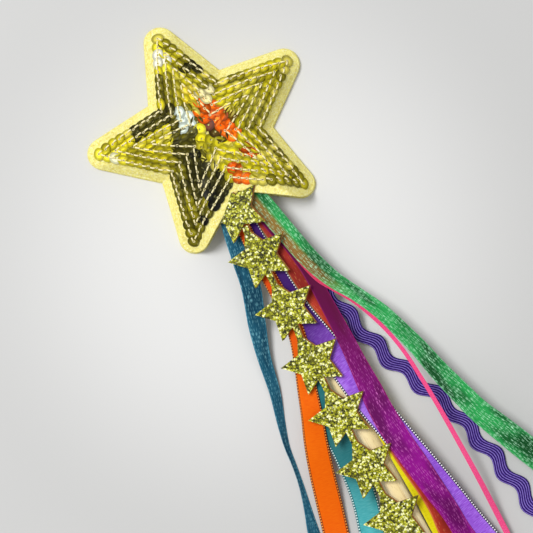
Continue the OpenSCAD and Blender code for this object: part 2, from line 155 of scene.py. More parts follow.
class Paint:
    """The nodes of one material, or of the sky."""

    def __init__(self, name: str, owner: Union[bpy.types.Material, bpy.types.World, None] = None) -> None:
        """Empties the owner's nodes.

        Args:
            name: Name of the new material that is made where there is no owner.
            owner: The material or sky whose nodes these are.
        """
        self.owner = owner or bpy.data.materials.new(name)
        self.owner.use_nodes = True
        self.tree = self.owner.node_tree
        self.tree.nodes.clear()

    def node(self, kind: str, settings: Optional[dict[str, Any]] = None,
             inputs: Optional[dict[Union[int, str], Any]] = None, out: Union[int, str] = 0) -> Wire:
        """Adds any node.

        Args:
            kind: The node's type.
            settings: Its properties, with stops for a ramp's positions and colours.
            inputs: Values or wires of its sockets, by number or name.
            out: The output that is wanted.

        Returns:
            That output's wire.
        """
        made = self.tree.nodes.new(kind)
        for key, value in (settings or {}).items():
            if key == "stops":
                ramp = made.color_ramp
                while len(ramp.elements) < len(value):
                    ramp.elements.new(0.5)
                for element, (place, colour) in zip(ramp.elements, value):
                    element.position = place
                    element.color = colour
            else:
                setattr(made, key, value)
        for key, value in (inputs or {}).items():
            self.put(made.inputs[key], value)
        return Wire(self, made.outputs[out])

    def put(self, socket: bpy.types.NodeSocket, value: Any) -> None:
        """Links a wire to a socket, or sets its value.

        Args:
            socket: The socket.
            value: A wire, or the value.
        """
        if isinstance(value, Wire):
            self.tree.links.new(value.socket, socket)
        else:
            socket.default_value = value

    def mix(self, share: Any, first: Any, second: Any, how: str = "MIX") -> Wire:
        """Mixes two colours.

        Args:
            share: 0 for the first colour, 1 for the second.
            first: Colour or wire.
            second: Colour or wire.
            how: The way of mixing.

        Returns:
            The mixed colour's wire.
        """
        return self.node("ShaderNodeMix", {"data_type": "RGBA", "blend_type": how, "clamp_factor": True},
                         {0: share, 6: first, 7: second}, out=2)

    def place(self) -> Wire:
        """Object coordinates, in metres."""
        return self.node("ShaderNodeTexCoord", out="Object")

    def cloth(self) -> tuple[Wire, Wire]:
        """Cloth coordinates of a ribbon, in millimetres.

        Returns:
            Wires of the length along the ribbon and the distance across it from its middle.
        """
        run = self.node("ShaderNodeSeparateXYZ", None, {0: self.node("ShaderNodeUVMap", {"uv_map": "cloth"})})
        return run, run.beside(1)

    def point(self, x: Any, y: Any, z: Any = 0.0) -> Wire:
        """A vector of three values."""
        return self.node("ShaderNodeCombineXYZ", None, {0: x, 1: y, 2: z})

    def stretch(self, vector: Wire, scale: tuple[float, float, float]) -> Wire:
        """Vector times a scale for each axis."""
        return self.node("ShaderNodeVectorMath", {"operation": "MULTIPLY"}, {0: vector, 1: scale})

    def noise(self, vector: Wire, scale: float, detail: float = 2.0, rough: float = 0.5) -> Wire:
        """Soft noise from 0 to 1.

        Args:
            vector: Where to take it.
            scale: Waves to a unit of the vector.
            detail: Octaves.
            rough: Share of the finer octaves.

        Returns:
            The noise's wire.
        """
        return self.node("ShaderNodeTexNoise", {"noise_dimensions": "3D"},
                         {"Vector": vector, "Scale": scale, "Detail": detail, "Roughness": rough})

    def spots(self, run: Wire, across: Wire, size: tuple[float, float], detail: float) -> Wire:
        """Soft noise on cloth.

        Args:
            run: Length along the ribbon.
            across: Distance across it.
            size: Length and width of the noise's spots, in millimetres.
            detail: Octaves.

        Returns:
            The noise's wire.
        """
        return self.noise(self.point(run / size[0], across / size[1]), 1.0, detail)

    def cells(self, vector: Wire, scale: float) -> tuple[Wire, Wire]:
        """Crazed cells.

        Args:
            vector: Where to take them.
            scale: Cells to a unit of the vector.

        Returns:
            The distance from each cell's middle, and a number from 0 to 1 for each cell.
        """
        far = self.node("ShaderNodeTexVoronoi", None, {"Vector": vector, "Scale": scale}, out="Distance")
        return far, self.node("ShaderNodeSeparateColor", None, {0: far.beside("Color")})

    def ramp(self, value: Wire, stops: list[tuple[float, tuple[float, float, float, float]]]) -> Wire:
        """Colour by value along a list of stops."""
        return self.node("ShaderNodeValToRGB", {"stops": stops}, {0: value})

    def bump(self, height: Wire, strength: float, depth: float) -> Wire:
        """Normal that shows a height.

        Args:
            height: The height's wire, about 0 to 1.
            strength: Share of the effect.
            depth: Depth in metres of a height of 1.

        Returns:
            The normal's wire.
        """
        return self.node("ShaderNodeBump", None, {"Height": height, "Strength": strength, "Distance": depth})

    def close(self, kind: str, shader: Wire) -> None:
        """Leads a shader to an output node of that kind."""
        self.put(self.tree.nodes.new(kind).inputs[0], shader)

    def finish(self, **sockets: Any) -> bpy.types.Material:
        """Closes the material with a Principled shader.

        Args:
            sockets: Its inputs, with underscores for the spaces of their names.

        Returns:
            The material.
        """
        shader = self.node("ShaderNodeBsdfPrincipled", None,
                           {key.replace("_", " "): value for key, value in sockets.items()})
        self.close("ShaderNodeOutputMaterial", shader)
        return self.owner


# Finishes


class Finish(Protocol):
    """What every finish can do."""

    def paint(self, name: str) -> bpy.types.Material:
        """Makes the material of that name."""


@dataclass(frozen=True)
class FeltFinish:
    """Wool felt: pale fibres over a mottled ground, with tan specks; its grains are in waves to a metre."""

    ground: str = "#f8ef8e"
    shade: str = "#e2d26a"
    fibre: str = "#fffbc8"
    speck: str = "#c99a4a"
    fuzz_grain: float = 1500.0
    clump_grain: float = 620.0
    speck_grain: float = 900.0
    relief: float = 0.0005

    def paint(self, name: str) -> bpy.types.Material:
        """Makes the material.

        Args:
            name: The material's name.

        Returns:
            The material.
        """
        p = Paint(name)
        where = p.place()
        fuzz = p.noise(where, self.fuzz_grain, 3.0, 0.7)
        clump = p.noise(where, self.clump_grain, 2.0)
        colour = p.mix(clump.fade(0.4, 0.7) * 0.75, hue(self.ground), hue(self.shade))
        colour = p.mix(fuzz.fade(0.5, 0.66) * 0.85, colour, hue(self.fibre))
        colour = p.mix(fuzz.fade(0.46, 0.32) * 0.5, colour, hue(self.shade))
        speck = p.noise(where, self.speck_grain, 3.0, 0.6)
        colour = p.mix(speck.fade(0.58, 0.7) * 0.34, colour, hue(self.speck))
        normal = p.bump(fuzz + clump * 0.8, 0.8, self.relief)
        return p.finish(Base_Color=colour, Roughness=0.95, Specular_IOR_Level=0.08, Normal=normal)


@dataclass(frozen=True)
class WaddingFinish:
    """Loose white fibre filling, drawn out along the star."""

    pale: str = "#f6f4ee"
    grey: str = "#d6d2c8"
    wisp_grain: float = 1400.0
    drawn: tuple[float, float, float] = (1.0, 0.35, 1.0)
    relief: float = 0.0006

    def paint(self, name: str) -> bpy.types.Material:
        """Makes the material.

        Args:
            name: The material's name.

        Returns:
            The material.
        """
        p = Paint(name)
        wisps = p.noise(p.stretch(p.place(), self.drawn), self.wisp_grain, 4.0, 0.7)
        colour = p.mix(wisps.fade(0.35, 0.65), hue(self.grey), hue(self.pale))
        return p.finish(Base_Color=colour, Roughness=1.0, Normal=p.bump(wisps, 0.8, self.relief))


@dataclass(frozen=True)
class SequinFinish:
    """Plastic film with a soft shine: each sequin has its own tint, which holds painted reflections,
    highlights and shade.
    """

    # bloom: colour of a painted sheen laid over the film in soft patches.
    bloom: str = "#f3ee9a"
    film_grain: float = 700.0

    def paint(self, name: str) -> bpy.types.Material:
        """Makes the material.

        Args:
            name: The material's name.

        Returns:
            The material.
        """
        p = Paint(name)
        # The tint holds each sequin's painted reflections, highlights and shade.
        tint = p.node("ShaderNodeAttribute", {"attribute_name": "tint"}, out="Color")
        film = p.noise(p.place(), self.film_grain, 2.0)
        # Painted sheen in soft patches over the film.
        colour = p.mix(film.fade(0.56, 0.78) * 0.2, tint, hue(self.bloom), "SCREEN")
        rough = film * 0.16 + 0.3
        return p.finish(Base_Color=colour, Roughness=rough, Specular_IOR_Level=0.1)


@dataclass(frozen=True)
class ThreadFinish:
    """Twisted cotton thread."""

    pale: str = "#fff8cc"
    shade: str = "#eedc96"
    ply_grain: float = 3200.0
    relief: float = 0.0001

    def paint(self, name: str) -> bpy.types.Material:
        """Makes the material.

        Args:
            name: The material's name.

        Returns:
            The material.
        """
        p = Paint(name)
        ply = p.noise(p.place(), self.ply_grain, 1.0)
        colour = p.mix(ply.fade(0.35, 0.65), hue(self.shade), hue(self.pale))
        return p.finish(Base_Color=colour, Roughness=0.8, Normal=p.bump(ply, 0.5, self.relief))


@dataclass(frozen=True)
class GlitterFinish:
    """Coarse glitter glued on card: each flake, sized in millimetres, has its own tilt and a painted
    reflection, up to a painted flash.
    """

    # Tones of painted reflection, from deep to a painted flash.
    deep: str = "#202006"
    body: str = "#7a7a0a"
    mid: str = "#aaaa16"
    light: str = "#dada3a"
    flash: str = "#ffffcc"
    flake: float = 0.9
    finer: float = 2.3
    relief: float = 0.0002

    def paint(self, name: str) -> bpy.types.Material:
        """Makes the material.

        Args:
            name: The material's name.

        Returns:
            The material.
        """
        p = Paint(name)
        where = p.place()
        near, tone = p.cells(where, 1000.0 / self.flake)
        _, small_tone = p.cells(where, 1000.0 * self.finer / self.flake)
        mixed = tone * 0.62 + small_tone * 0.38
        # Painted reflections: each flake's tone; the palest ones are painted glints.
        colour = p.ramp(mixed, [
            (0.2, hue(self.deep)), (0.36, hue(self.body)), (0.55, hue(self.mid)),
            (0.68, hue(self.light)), (0.8, hue(self.flash))])
        # Painted shade between the flakes.
        colour = p.mix(near.fade(0.45, 0.8) * 0.75, colour, hue(self.deep))
        rough = 0.5 - mixed * 0.25
        normal = p.bump(tone * 0.8 - near * 0.5 + small_tone * 0.2, 0.5, self.relief)
        return p.finish(Base_Color=colour, Roughness=rough, Specular_IOR_Level=0.2, Normal=normal)


@dataclass(frozen=True)
class CardFinish:
    """Brown backing card with short fibres."""

    ground: str = "#a06a24"
    shade: str = "#6e4516"
    fibre_grain: float = 1500.0
    relief: float = 0.0001

    def paint(self, name: str) -> bpy.types.Material:
        """Makes the material.

        Args:
            name: The material's name.

        Returns:
            The material.
        """
        p = Paint(name)
        fibre = p.noise(p.place(), self.fibre_grain, 3.0, 0.7)
        colour = p.mix(fibre.fade(0.35, 0.7), hue(self.shade), hue(self.ground))
        return p.finish(Base_Color=colour, Roughness=0.85, Normal=p.bump(fibre, 0.4, self.relief))


@dataclass(frozen=True)
class WoodFinish:
    """Pale turned wood with straight grain along the stick: streaks over broad bands, and pores."""

    ground: str = "#f6e0a4"
    grain: str = "#c49c60"
    pale: str = "#fff0c4"
    dark: str = "#8a6534"
    streak_grain: float = 1500.0
    streak_drawn: tuple[float, float, float] = (1.0, 0.035, 1.0)
    band_grain: float = 260.0
    band_drawn: tuple[float, float, float] = (1.0, 0.05, 1.0)
    pore_grain: float = 3600.0
    pore_drawn: tuple[float, float, float] = (1.0, 0.09, 1.0)
    relief: float = 0.0001

    def paint(self, name: str) -> bpy.types.Material:
        """Makes the material.

        Args:
            name: The material's name.

        Returns:
            The material.
        """
        p = Paint(name)
        where = p.place()
        streak = p.noise(p.stretch(where, self.streak_drawn), self.streak_grain, 3.0, 0.65)
        band = p.noise(p.stretch(where, self.band_drawn), self.band_grain, 2.0)
        colour = p.mix(band.fade(0.3, 0.7), hue(self.ground), hue(self.pale))
        colour = p.mix(streak.fade(0.55, 0.78) * 0.75, colour, hue(self.grain))
        pore = p.noise(p.stretch(where, self.pore_drawn), self.pore_grain, 1.0)
        colour = p.mix(pore.fade(0.66, 0.78) * 0.5, colour, hue(self.dark))
        return p.finish(Base_Color=colour, Roughness=0.62 - band * 0.12,
                        Normal=p.bump(streak - pore * 0.5, 0.35, self.relief))


@dataclass(frozen=True)
class SteelFinish:
    """Bright tack wire, a little scratched."""

    ground: str = "#c4c7cb"
    worn: str = "#8d9096"
    wear_grain: float = 1800.0

    def paint(self, name: str) -> bpy.types.Material:
        """Makes the material.

        Args:
            name: The material's name.

        Returns:
            The material.
        """
        p = Paint(name)
        wear = p.noise(p.place(), self.wear_grain, 3.0)
        colour = p.mix(wear.fade(0.4, 0.8), hue(self.ground), hue(self.worn))
        return p.finish(Base_Color=colour, Roughness=wear * 0.25 + 0.2, Metallic=1.0)


class Edge(Enum):
    """How a woven ribbon's edge is finished."""

    PLAIN = "plain"
    PICOT = "picot"


@dataclass(frozen=True)
class SatinFinish:
    """Satin ribbon: fine ribs across it, painted light and shade along it, and a picot or plain edge."""

    ground: str
    # shade and light: colours of painted shade and painted light along the folds, used on the ribs too.
    shade: str
    light: str
    width: float
    edge: Edge = Edge.PICOT
    edge_ground: str = "#1c1038"
    edge_dot: str = "#f8f4fa"
    dot_r: float = 0.3
    dot_pitch: float = 1.1
    dot_inset: float = 0.38
    fold_size: tuple[float, float] = (34.0, 16.0)
    rib_size: tuple[float, float] = (0.34, 2.6)
    depth: float = 0.7
    rib: float = 0.3
    relief: float = 0.0002
    # root, root_from, root_to and root_share: painted shade near the star, a deeper colour that fades out
    # along the ribbon.
    root: str = "#000000"
    root_from: float = 60.0
    root_to: float = 20.0
    root_share: float = 0.0

    def paint(self, name: str) -> bpy.types.Material:
        """Makes the material.

        Args:
            name: The material's name.

        Returns:
            The material.
        """
        p = Paint(name)
        run, across = p.cloth()
        # Painted light and shade along the folds.
        fold = p.spots(run, across, self.fold_size, 1.5)
        colour = p.mix(fold.fade(0.5, 0.26) * self.depth, hue(self.ground), hue(self.shade))
        colour = p.mix(fold.fade(0.52, 0.74) * self.depth, colour, hue(self.light))
        rib = p.spots(run, across, self.rib_size, 1.0)
        colour = p.mix(rib.fade(0.48, 0.7) * self.rib, colour, hue(self.light))
        colour = p.mix(rib.fade(0.5, 0.3) * self.rib, colour, hue(self.shade))
        # Painted shade near the star.
        colour = p.mix(run.fade(self.root_from, self.root_to) * self.root_share, colour, hue(self.root))
        inset = self.width / 2 - abs(across)
        height = rib * 0.25 + fold * 6.0
        if self.edge is Edge.PICOT:
            step = (run / self.dot_pitch).part() * self.dot_pitch - self.dot_pitch / 2
            aside = inset - self.dot_inset
            ball = (step * step + aside * aside).root()
            dot = ball.fade(self.dot_r + 0.09, self.dot_r - 0.06)
            colour = p.mix(inset.fade(0.95, 0.75), colour, hue(self.edge_ground))
            colour = p.mix(dot, colour, hue(self.edge_dot))
            height = height + dot * 0.6
        else:
            # Painted highlight along a plain edge.
            colour = p.mix(inset.fade(0.8, 0.5) * 0.5, colour, hue(self.light))
        return p.finish(Base_Color=colour, Roughness=0.6 - rib * 0.12, Specular_IOR_Level=0.08,
                        Normal=p.bump(height, 0.5, self.relief))


@dataclass(frozen=True)
class OrganzaFinish:
    """Organza ribbon with a metal thread: painted glints in dashes along the weave, in patches and by the
    edges.
    """

    ground: str
    shade: str
    # spark, amount, spark_from and the patch and dash sizes: painted glints of the metal thread.
    spark: str
    width: float
    amount: float = 0.5
    # edge and edge_share: painted highlight along the edges.
    edge: str = "#ffffff"
    edge_share: float = 0.4
    # root, root_from, root_to and root_share: painted shade near the star, a deeper colour that fades out
    # along the ribbon; left_only keeps it on the left half.
    root: str = "#000000"
    root_from: float = 60.0
    root_to: float = 20.0
    root_share: float = 0.0
    left_only: bool = False
    spark_from: float = 0.0
    fold_size: tuple[float, float] = (26.0, 9.0)
    weave_size: tuple[float, float] = (1.8, 0.3)
    patch_size: tuple[float, float] = (8.0, 3.0)
    patch_shift: float = 7.0
    dash_size: tuple[float, float] = (1.6, 0.17)
    relief: float = 0.0002

    def paint(self, name: str) -> bpy.types.Material:
        """Makes the material.

        Args:
            name: The material's name.

        Returns:
            The material.
        """
        p = Paint(name)
        run, across = p.cloth()
        inset = self.width / 2 - abs(across)
        # Painted shade in the folds.
        fold = p.spots(run, across, self.fold_size, 1.5)
        colour = p.mix(fold.fade(0.6, 0.36), hue(self.ground), hue(self.shade))
        weave = p.spots(run, across, self.weave_size, 1.0)
        colour = p.mix(weave.fade(0.5, 0.3) * 0.4, colour, hue(self.shade))
        # Painted shade near the star.
        root = run.fade(self.root_from, self.root_to) * self.root_share
        if self.left_only:
            root = root * across.fade(1.2, -1.2)
        colour = p.mix(root, colour, hue(self.root))
        # Painted glints: bright dashes of the metal thread, in patches and near the edges.
        patch = p.noise(p.point(run / self.patch_size[0],
                                across / self.patch_size[1] + self.patch_shift), 1.0, 2.0)
        near, tone = p.cells(p.point(run / self.dash_size[0], across / self.dash_size[1]), 1.0)
        lit = patch * 0.9 + inset.fade(1.3, 0.4) * 0.22
        dash = (tone + lit * 0.6 - 1.24 + self.amount * 0.5).fade(0.0, 0.3) * near.fade(0.7, 0.3)
        dash = dash * run.fade(self.spark_from - 1.0, self.spark_from + 25.0)
        # Painted highlight along the edges.
        colour = p.mix(inset.fade(0.7, 0.3) * self.edge_share, colour, hue(self.edge))
        colour = p.mix(dash * 0.8, colour, hue(self.spark))
        return p.finish(Base_Color=colour, Roughness=0.5 - dash * 0.2, Specular_IOR_Level=0.08,
                        Normal=p.bump(weave * 0.3 + dash * 0.4 + fold * 5.0, 0.5, self.relief))


@dataclass(frozen=True)
class BraidFinish:
    """Ric-rac: cords of thread side by side along the wave, with painted light on the cords and painted shade
    between them.
    """

    ground: str = "#412688"
    # light and dark: painted light on the cords' tops and painted shade in the grooves between them.
    light: str = "#9c88d8"
    dark: str = "#0e0628"
    width: float = 5.8
    cords: int = 6
    slub_size: tuple[float, float] = (0.8, 0.5)
    stitch_pitch: float = 0.9
    relief: float = 0.0002

    def paint(self, name: str) -> bpy.types.Material:
        """Makes the material.

        Args:
            name: The material's name.

        Returns:
            The material.
        """
        p = Paint(name)
        run, across = p.cloth()
        ridge = (across * (2 * math.pi * self.cords / self.width)).wave()
        slub = p.spots(run, across, self.slub_size, 2.0)
        # Painted light on the cords and painted shade between them.
        lit = ridge.fade(0.35, 0.95) * slub.fade(0.15, 0.6) * 0.85
        colour = p.mix(lit, hue(self.ground), hue(self.light))
        colour = p.mix(ridge.fade(-0.2, -0.9) * 0.85, colour, hue(self.dark))
        stitch = ((run + across * 0.6) * (2 * math.pi / self.stitch_pitch)).wave()
        return p.finish(Base_Color=colour, Roughness=0.75, Specular_IOR_Level=0.08,
                        Normal=p.bump(ridge * 0.5 + stitch * 0.2 + slub * 0.3, 0.5, self.relief))


@dataclass(frozen=True)
class VelvetFinish:
    """Narrow velvet ribbon: short pile, with painted shade near the star."""

    ground: str = "#ea4a84"
    # deep: colour of the painted shade near the star, also used for the pile's darker tufts.
    deep: str = "#c8304c"
    light: str = "#ff92b4"
    # deep_from and deep_to: where the painted shade near the star fades out.
    deep_from: float = 105.0
    deep_to: float = 55.0
    pile_size: tuple[float, float] = (0.5, 0.35)
    relief: float = 0.0003

    def paint(self, name: str) -> bpy.types.Material:
        """Makes the material.

        Args:
            name: The material's name.

        Returns:
            The material.
        """
        p = Paint(name)
        run, across = p.cloth()
        pile = p.spots(run, across, self.pile_size, 2.0)
        # Painted shade near the star.
        colour = p.mix(run.fade(self.deep_from, self.deep_to) * 0.9, hue(self.ground), hue(self.deep))
        colour = p.mix(pile.fade(0.52, 0.72) * 0.55, colour, hue(self.light))
        colour = p.mix(pile.fade(0.46, 0.28) * 0.35, colour, hue(self.deep))
        normal = p.bump(pile, 0.7, self.relief)
        return p.finish(Base_Color=colour, Roughness=0.9, Specular_IOR_Level=0.08, Normal=normal)


# Mesh tools


def grid_faces(rows: int, cols: int, wrap: bool = False) -> np.ndarray:
    """Quads of a grid of points that are counted row by row.

    Args:
        rows: Number of rows.
        cols: Points in a row.
        wrap: Whether each row closes on itself.

    Returns:
        Array of four point numbers for each quad.
    """
    i, j = np.meshgrid(np.arange(rows - 1), np.arange(cols if wrap else cols - 1), indexing="ij")
    k = (j + 1) % cols
    quads = np.stack([i * cols + j, (i + 1) * cols + j, (i + 1) * cols + k, i * cols + k], axis=-1)
    return quads.reshape(-1, 4)


def add_piece(name: str, points: np.ndarray, faces: list[Any], closed: bool,
              cloth: Optional[np.ndarray] = None, tint: Optional[np.ndarray] = None,
              smooth: bool = True) -> bpy.types.Object:
    """Puts points and faces into a mesh object.

    Args:
        name: The piece's name.
        points: Array of points, in metres.
        faces: Lists of point numbers.
        closed: Whether the piece is a closed shell, whose faces are then turned outwards.
        cloth: Cloth coordinates of each point, in millimetres.
        tint: Colour of each point, four numbers.
        smooth: Whether the faces are shaded as one smooth surface.

    Returns:
        The object, in the scene.
    """
    mesh = bpy.data.meshes.new(name)
    mesh.from_pydata(points.reshape(-1, 3).tolist(), [], [list(map(int, f)) for f in faces])
    if cloth is not None:
        corner = np.empty(len(mesh.loops), np.int32)
        mesh.loops.foreach_get("vertex_index", corner)
        layer = mesh.uv_layers.new(name="cloth")
        layer.data.foreach_set("uv", cloth.reshape(-1, 2)[corner].astype(np.float32).ravel())
    if tint is not None:
        mesh.attributes.new("tint", "FLOAT_COLOR", "POINT").data.foreach_set(
            "color", tint.astype(np.float32).ravel())
    if closed:
        work = bmesh.new()
        work.from_mesh(mesh)
        bmesh.ops.recalc_face_normals(work, faces=work.faces)
        work.to_mesh(mesh)
        work.free()
    mesh.polygons.foreach_set("use_smooth", np.full(len(mesh.polygons), smooth))
    piece = bpy.data.objects.new(name, mesh)
    bpy.context.scene.collection.objects.link(piece)
    return piece


def capped(name: str, rings: np.ndarray) -> bpy.types.Object:
    """Closed piece from rings of points, with a point in the middle of its first and last ring.

    Args:
        name: The piece's name.
        rings: Array of rings by points by three, in metres.

    Returns:
        The object.
    """
    rows, cols = rings.shape[:2]
    points = np.concatenate([rings.reshape(-1, 3), rings[:1].mean(1), rings[-1:].mean(1)])
    ring = np.arange(cols)
    ends = [np.stack([np.full(cols, rows * cols + e), start + ring, start + (ring + 1) % cols], 1)
            for e, start in ((0, 0), (1, (rows - 1) * cols))]
    faces = list(grid_faces(rows, cols, True)) + list(ends[0]) + list(ends[1])
    return add_piece(name, points, faces, True)


def dress(piece: bpy.types.Object, material: bpy.types.Material) -> None:
    """Gives a piece one material."""
    piece.data.materials.clear()
    piece.data.materials.append(material)


def stand_in(piece: bpy.types.Object, material: bpy.types.Material, body: str, node: str) -> None:
    """Dresses a piece and puts it in the place of a solid.

    Args:
        piece: The piece.
        material: Its material.
        body: The body that it moves with.
        node: The solid that it replaces.
    """
    dress(piece, material)
    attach(piece, body)
    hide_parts(node)


def ease(t: np.ndarray) -> np.ndarray:
    """Smooth step of t from 0 to 1: t squared times three less two t."""
    t = np.clip(t, 0.0, 1.0)
    return t * t * (3 - 2 * t)


# Felt star


@dataclass
class StarForm:
    """The star's outline and the front felt's heights, in millimetres."""

    points: int = 5
    point_r: float = 55.0
    notch_r: float = 25.0
    tip_r: float = 6.0
    felt_t: float = 1.2
    rim_w: float = 0.6
    dome_h: float = 12.9
    dome_fall: float = 2.2
    dome_full: float = 0.95
    mouth_full: float = 24.0
    mouth_end: float = 35.0
    lean_all: float = 1.14
    lean_once: tuple[float, float] = (0.08, 1.87)
    lean_twice: tuple[float, float] = (-0.72, -0.05)
    swell_all: float = 1.008
    swell_left: float = 0.026
    left_point: float = 288.0

    def __post_init__(self) -> None:
        """Works out the angles of half a point."""
        half = math.pi / self.points
        self.tip_half = math.atan2(self.notch_r * math.sin(half),
                                   self.point_r - self.notch_r * math.cos(half))
        self.tip_centre = self.point_r - self.tip_r / math.sin(self.tip_half)
        self.tip_span = math.atan2(self.tip_r * math.cos(self.tip_half),
                                   self.tip_centre + self.tip_r * math.sin(self.tip_half))

    def lean(self, angle: np.ndarray) -> np.ndarray:
        """How far the hand-cut star is turned from a regular one: a mean, and a wave once and twice round it.

        Args:
            angle: Angles from the top point, clockwise, in radians.

        Returns:
            Turns, clockwise, in radians.
        """
        (a, b), (c, d) = self.lean_once, self.lean_twice
        return np.radians(self.lean_all + a * np.cos(angle) + b * np.sin(angle)
                          + c * np.cos(2 * angle) + d * np.sin(2 * angle))

    def swell(self, angle: np.ndarray) -> np.ndarray:
        """How much longer the hand-cut star is than a regular one: most at the point on its left."""
        near = np.maximum(0, np.cos(angle - math.radians(self.left_point)))
        return self.swell_all + self.swell_left * near ** 4

    def warp(self, x: np.ndarray, y: np.ndarray) -> tuple[np.ndarray, np.ndarray]:
        """Moves places on a regular star to the same places on the hand-cut one.

        Args:
            x: Places across the star.
            y: Places up the star.

        Returns:
            The moved places, across and up.
        """
        angle, r = np.arctan2(x, y), np.hypot(x, y)
        r, angle = r * self.swell(angle), angle + self.lean(angle)
        return r * np.sin(angle), r * np.cos(angle)

    def outline(self, angle: np.ndarray) -> np.ndarray:
        """Distance to the hand-cut outline in any direction, in radians clockwise from the top point."""
        even = angle - self.lean(angle - self.lean(angle))
        return self._regular(even) * self.swell(even)

    def _regular(self, angle: np.ndarray) -> np.ndarray:
        """Distance to a regular outline: an arc round each point's tip, and a straight edge to the notch.

        Args:
            angle: Angles from the top point, clockwise, in radians.

        Returns:
            The distances.
        """
        turn = 2 * math.pi / self.points
        f = np.abs(np.mod(angle + turn / 2, turn) - turn / 2)
        arc = self.tip_centre * np.cos(f) + np.sqrt(
            np.maximum(self.tip_r ** 2 - (self.tip_centre * np.sin(f)) ** 2, 0))
        slope = math.tan(self.tip_half)
        edge = self.point_r * slope / (np.sin(f) + slope * np.cos(f))
        return np.where(f < self.tip_span, arc, edge)

    def inside(self, x: np.ndarray, y: np.ndarray) -> np.ndarray:
        """Height of the front felt's inside: a dome that falls to the rim, and stays high over the mouth.

        Args:
            x: Places across the star.
            y: Places up the star.

        Returns:
            The heights.
        """
        reach = np.hypot(x, y) / (self.outline(np.arctan2(x, y)) - self.rim_w)
        dome = (1 - np.minimum(reach, 1) ** self.dome_fall) ** self.dome_full
        open_share = ease((self.mouth_end - np.degrees(np.abs(np.arctan2(x, -y))))
                          / (self.mouth_end - self.mouth_full))
        return self.felt_t + self.dome_h * (1 - (1 - open_share) * (1 - dome))

    def outside(self, x: np.ndarray, y: np.ndarray) -> np.ndarray:
        """Height of the front felt's outside."""
        return self.inside(x, y) + self.felt_t

    def normal(self, x: np.ndarray, y: np.ndarray, step: float = 0.8) -> np.ndarray:
        """Upward normal of the felt's outside, from the slopes over a short step.

        Args:
            x: Places across the star.
            y: Places up the star.
            step: Length of the step.

        Returns:
            Unit vectors.
        """
        gx = (self.outside(x + step, y) - self.outside(x - step, y)) / (2 * step)
        gy = (self.outside(x, y + step) - self.outside(x, y - step)) / (2 * step)
        n = np.stack([-gx, -gy, np.ones_like(gx)], -1)
        return n / np.linalg.norm(n, axis=-1, keepdims=True)


@dataclass
class FeltStar:
    """Two felt stars with wadding between them."""

    form: StarForm
    back_reach: float = 0.4
    ripple: float = 0.12
    wadding_inset: float = 4.4
    wadding_slack: float = 1.2
    wadding_least: float = 0.15
    lump: float = 0.35
    ribbon_room: float = 8.5
    ribbon_slope: float = 0.5
    stick_x: float = -1.2
    stick_room: float = 4.5
    stick_slope: float = 1.2
    stick_top: float = 15.6
    top_slope: float = 1.5
    steps: int = 360

    def _slab(self, grow: float, shares: np.ndarray, heights: Any) -> np.ndarray:
        """Rings of a felt slab: out over its top, round its edge by half a circle, and back under it.

        Args:
            grow: How far its edge stands out from the outline.
            shares: Rings of the top, as shares of the way out.
            heights: Function of x, y and the share of the thickness, giving heights.

        Returns:
            Rings by points by three, in metres.
        """
        angle = np.linspace(0, 2 * math.pi, self.steps, endpoint=False)
        round_r = self.form.felt_t / 2
        bend = np.linspace(0, math.pi, 7)[1:-1]
        share = np.concatenate([shares, np.ones(len(bend)), shares[::-1]])
        out = np.concatenate([shares * 0, np.sin(bend), shares * 0])
        level = np.concatenate([shares * 0 + 1, 0.5 + 0.5 * np.cos(bend), shares * 0])
        r = share[:, None] * (self.form.outline(angle)[None] + grow - round_r) + out[:, None] * round_r
        x, y = r * np.sin(angle), r * np.cos(angle)
        return np.stack([x, y, heights(x, y, level[:, None] + 0 * x)], -1) * MM

    def _wadding(self) -> bpy.types.Object:
        """Wadding: a lumpy height field under the front felt, drawn down to a channel for the stick.

        Returns:
            The piece.
        """
        angle = np.linspace(0, 2 * math.pi, self.steps // 2, endpoint=False)
        share = np.linspace(0.04, 1, 22)
        r = share[:, None] * (self.form.outline(angle)[None] - self.wadding_inset)
        x, y = r * np.sin(angle), r * np.cos(angle)
        base = self.form.felt_t + 0.1
        lump = self.lump * np.sin(0.9 * x + 0.4 * y) * np.sin(0.7 * y - 0.3 * x)
        top = np.minimum(self.form.inside(x, y) - self.wadding_slack + lump,
                         self.ribbon_room + self.ribbon_slope * np.maximum(0, y))
        beside = np.maximum(ease((np.abs(x - self.stick_x) - self.stick_room) / self.stick_slope),
                            ease((y - self.stick_top) / self.top_slope))
        top = base + np.maximum(self.wadding_least, (top - base) * beside)
        upper = np.stack([x, y, top], -1)
        lower = np.stack([x, y, 0 * x + base], -1)
        piece = capped("wadding", np.concatenate([upper, lower[::-1]]) * MM)
        stand_in(piece, WaddingFinish().paint("wadding"), "wand", "stuffing")
        return piece

    def build(self) -> list[bpy.types.Object]:
        """Makes the back felt, the puffed front felt and the wadding.

        Returns:
            The three pieces.
        """
        form = self.form
        shares = np.concatenate([np.linspace(0.03, 0.9, 26), np.linspace(0.92, 1, 7)])
        wool = FeltFinish().paint("felt")
        back = capped("back_felt_cut", self._slab(
            self.back_reach, np.linspace(0.05, 1, 10),
            lambda x, y, level: level * form.felt_t))
        front = capped("front_felt_puff", self._slab(
            0.0, shares,
            lambda x, y, level: form.inside(x, y) + level * form.felt_t
            + self.ripple * level * np.sin(x * 0.9 + 1.3) * np.sin(y * 0.8)))
        stand_in(back, wool, "wand", "back_felt")
        stand_in(front, wool, "wand", "front_felt")
        wadding = self._wadding()
        return [back, front, wadding]


# Sequins


@dataclass
class Patch:
    """A patch of painted reflection among the sequins, or of a painted flash: place and size in millimetres,
    turn in degrees.

    It covers the sequins by the share full; ragged is how uneven its edge is, and worn how unevenly it covers
    them.
    """

    x: float
    y: float
    long: float
    wide: float
    turn: float
    colour: str
    full: float = 1.0
    ragged: float = 0.3
    worn: float = 0.12


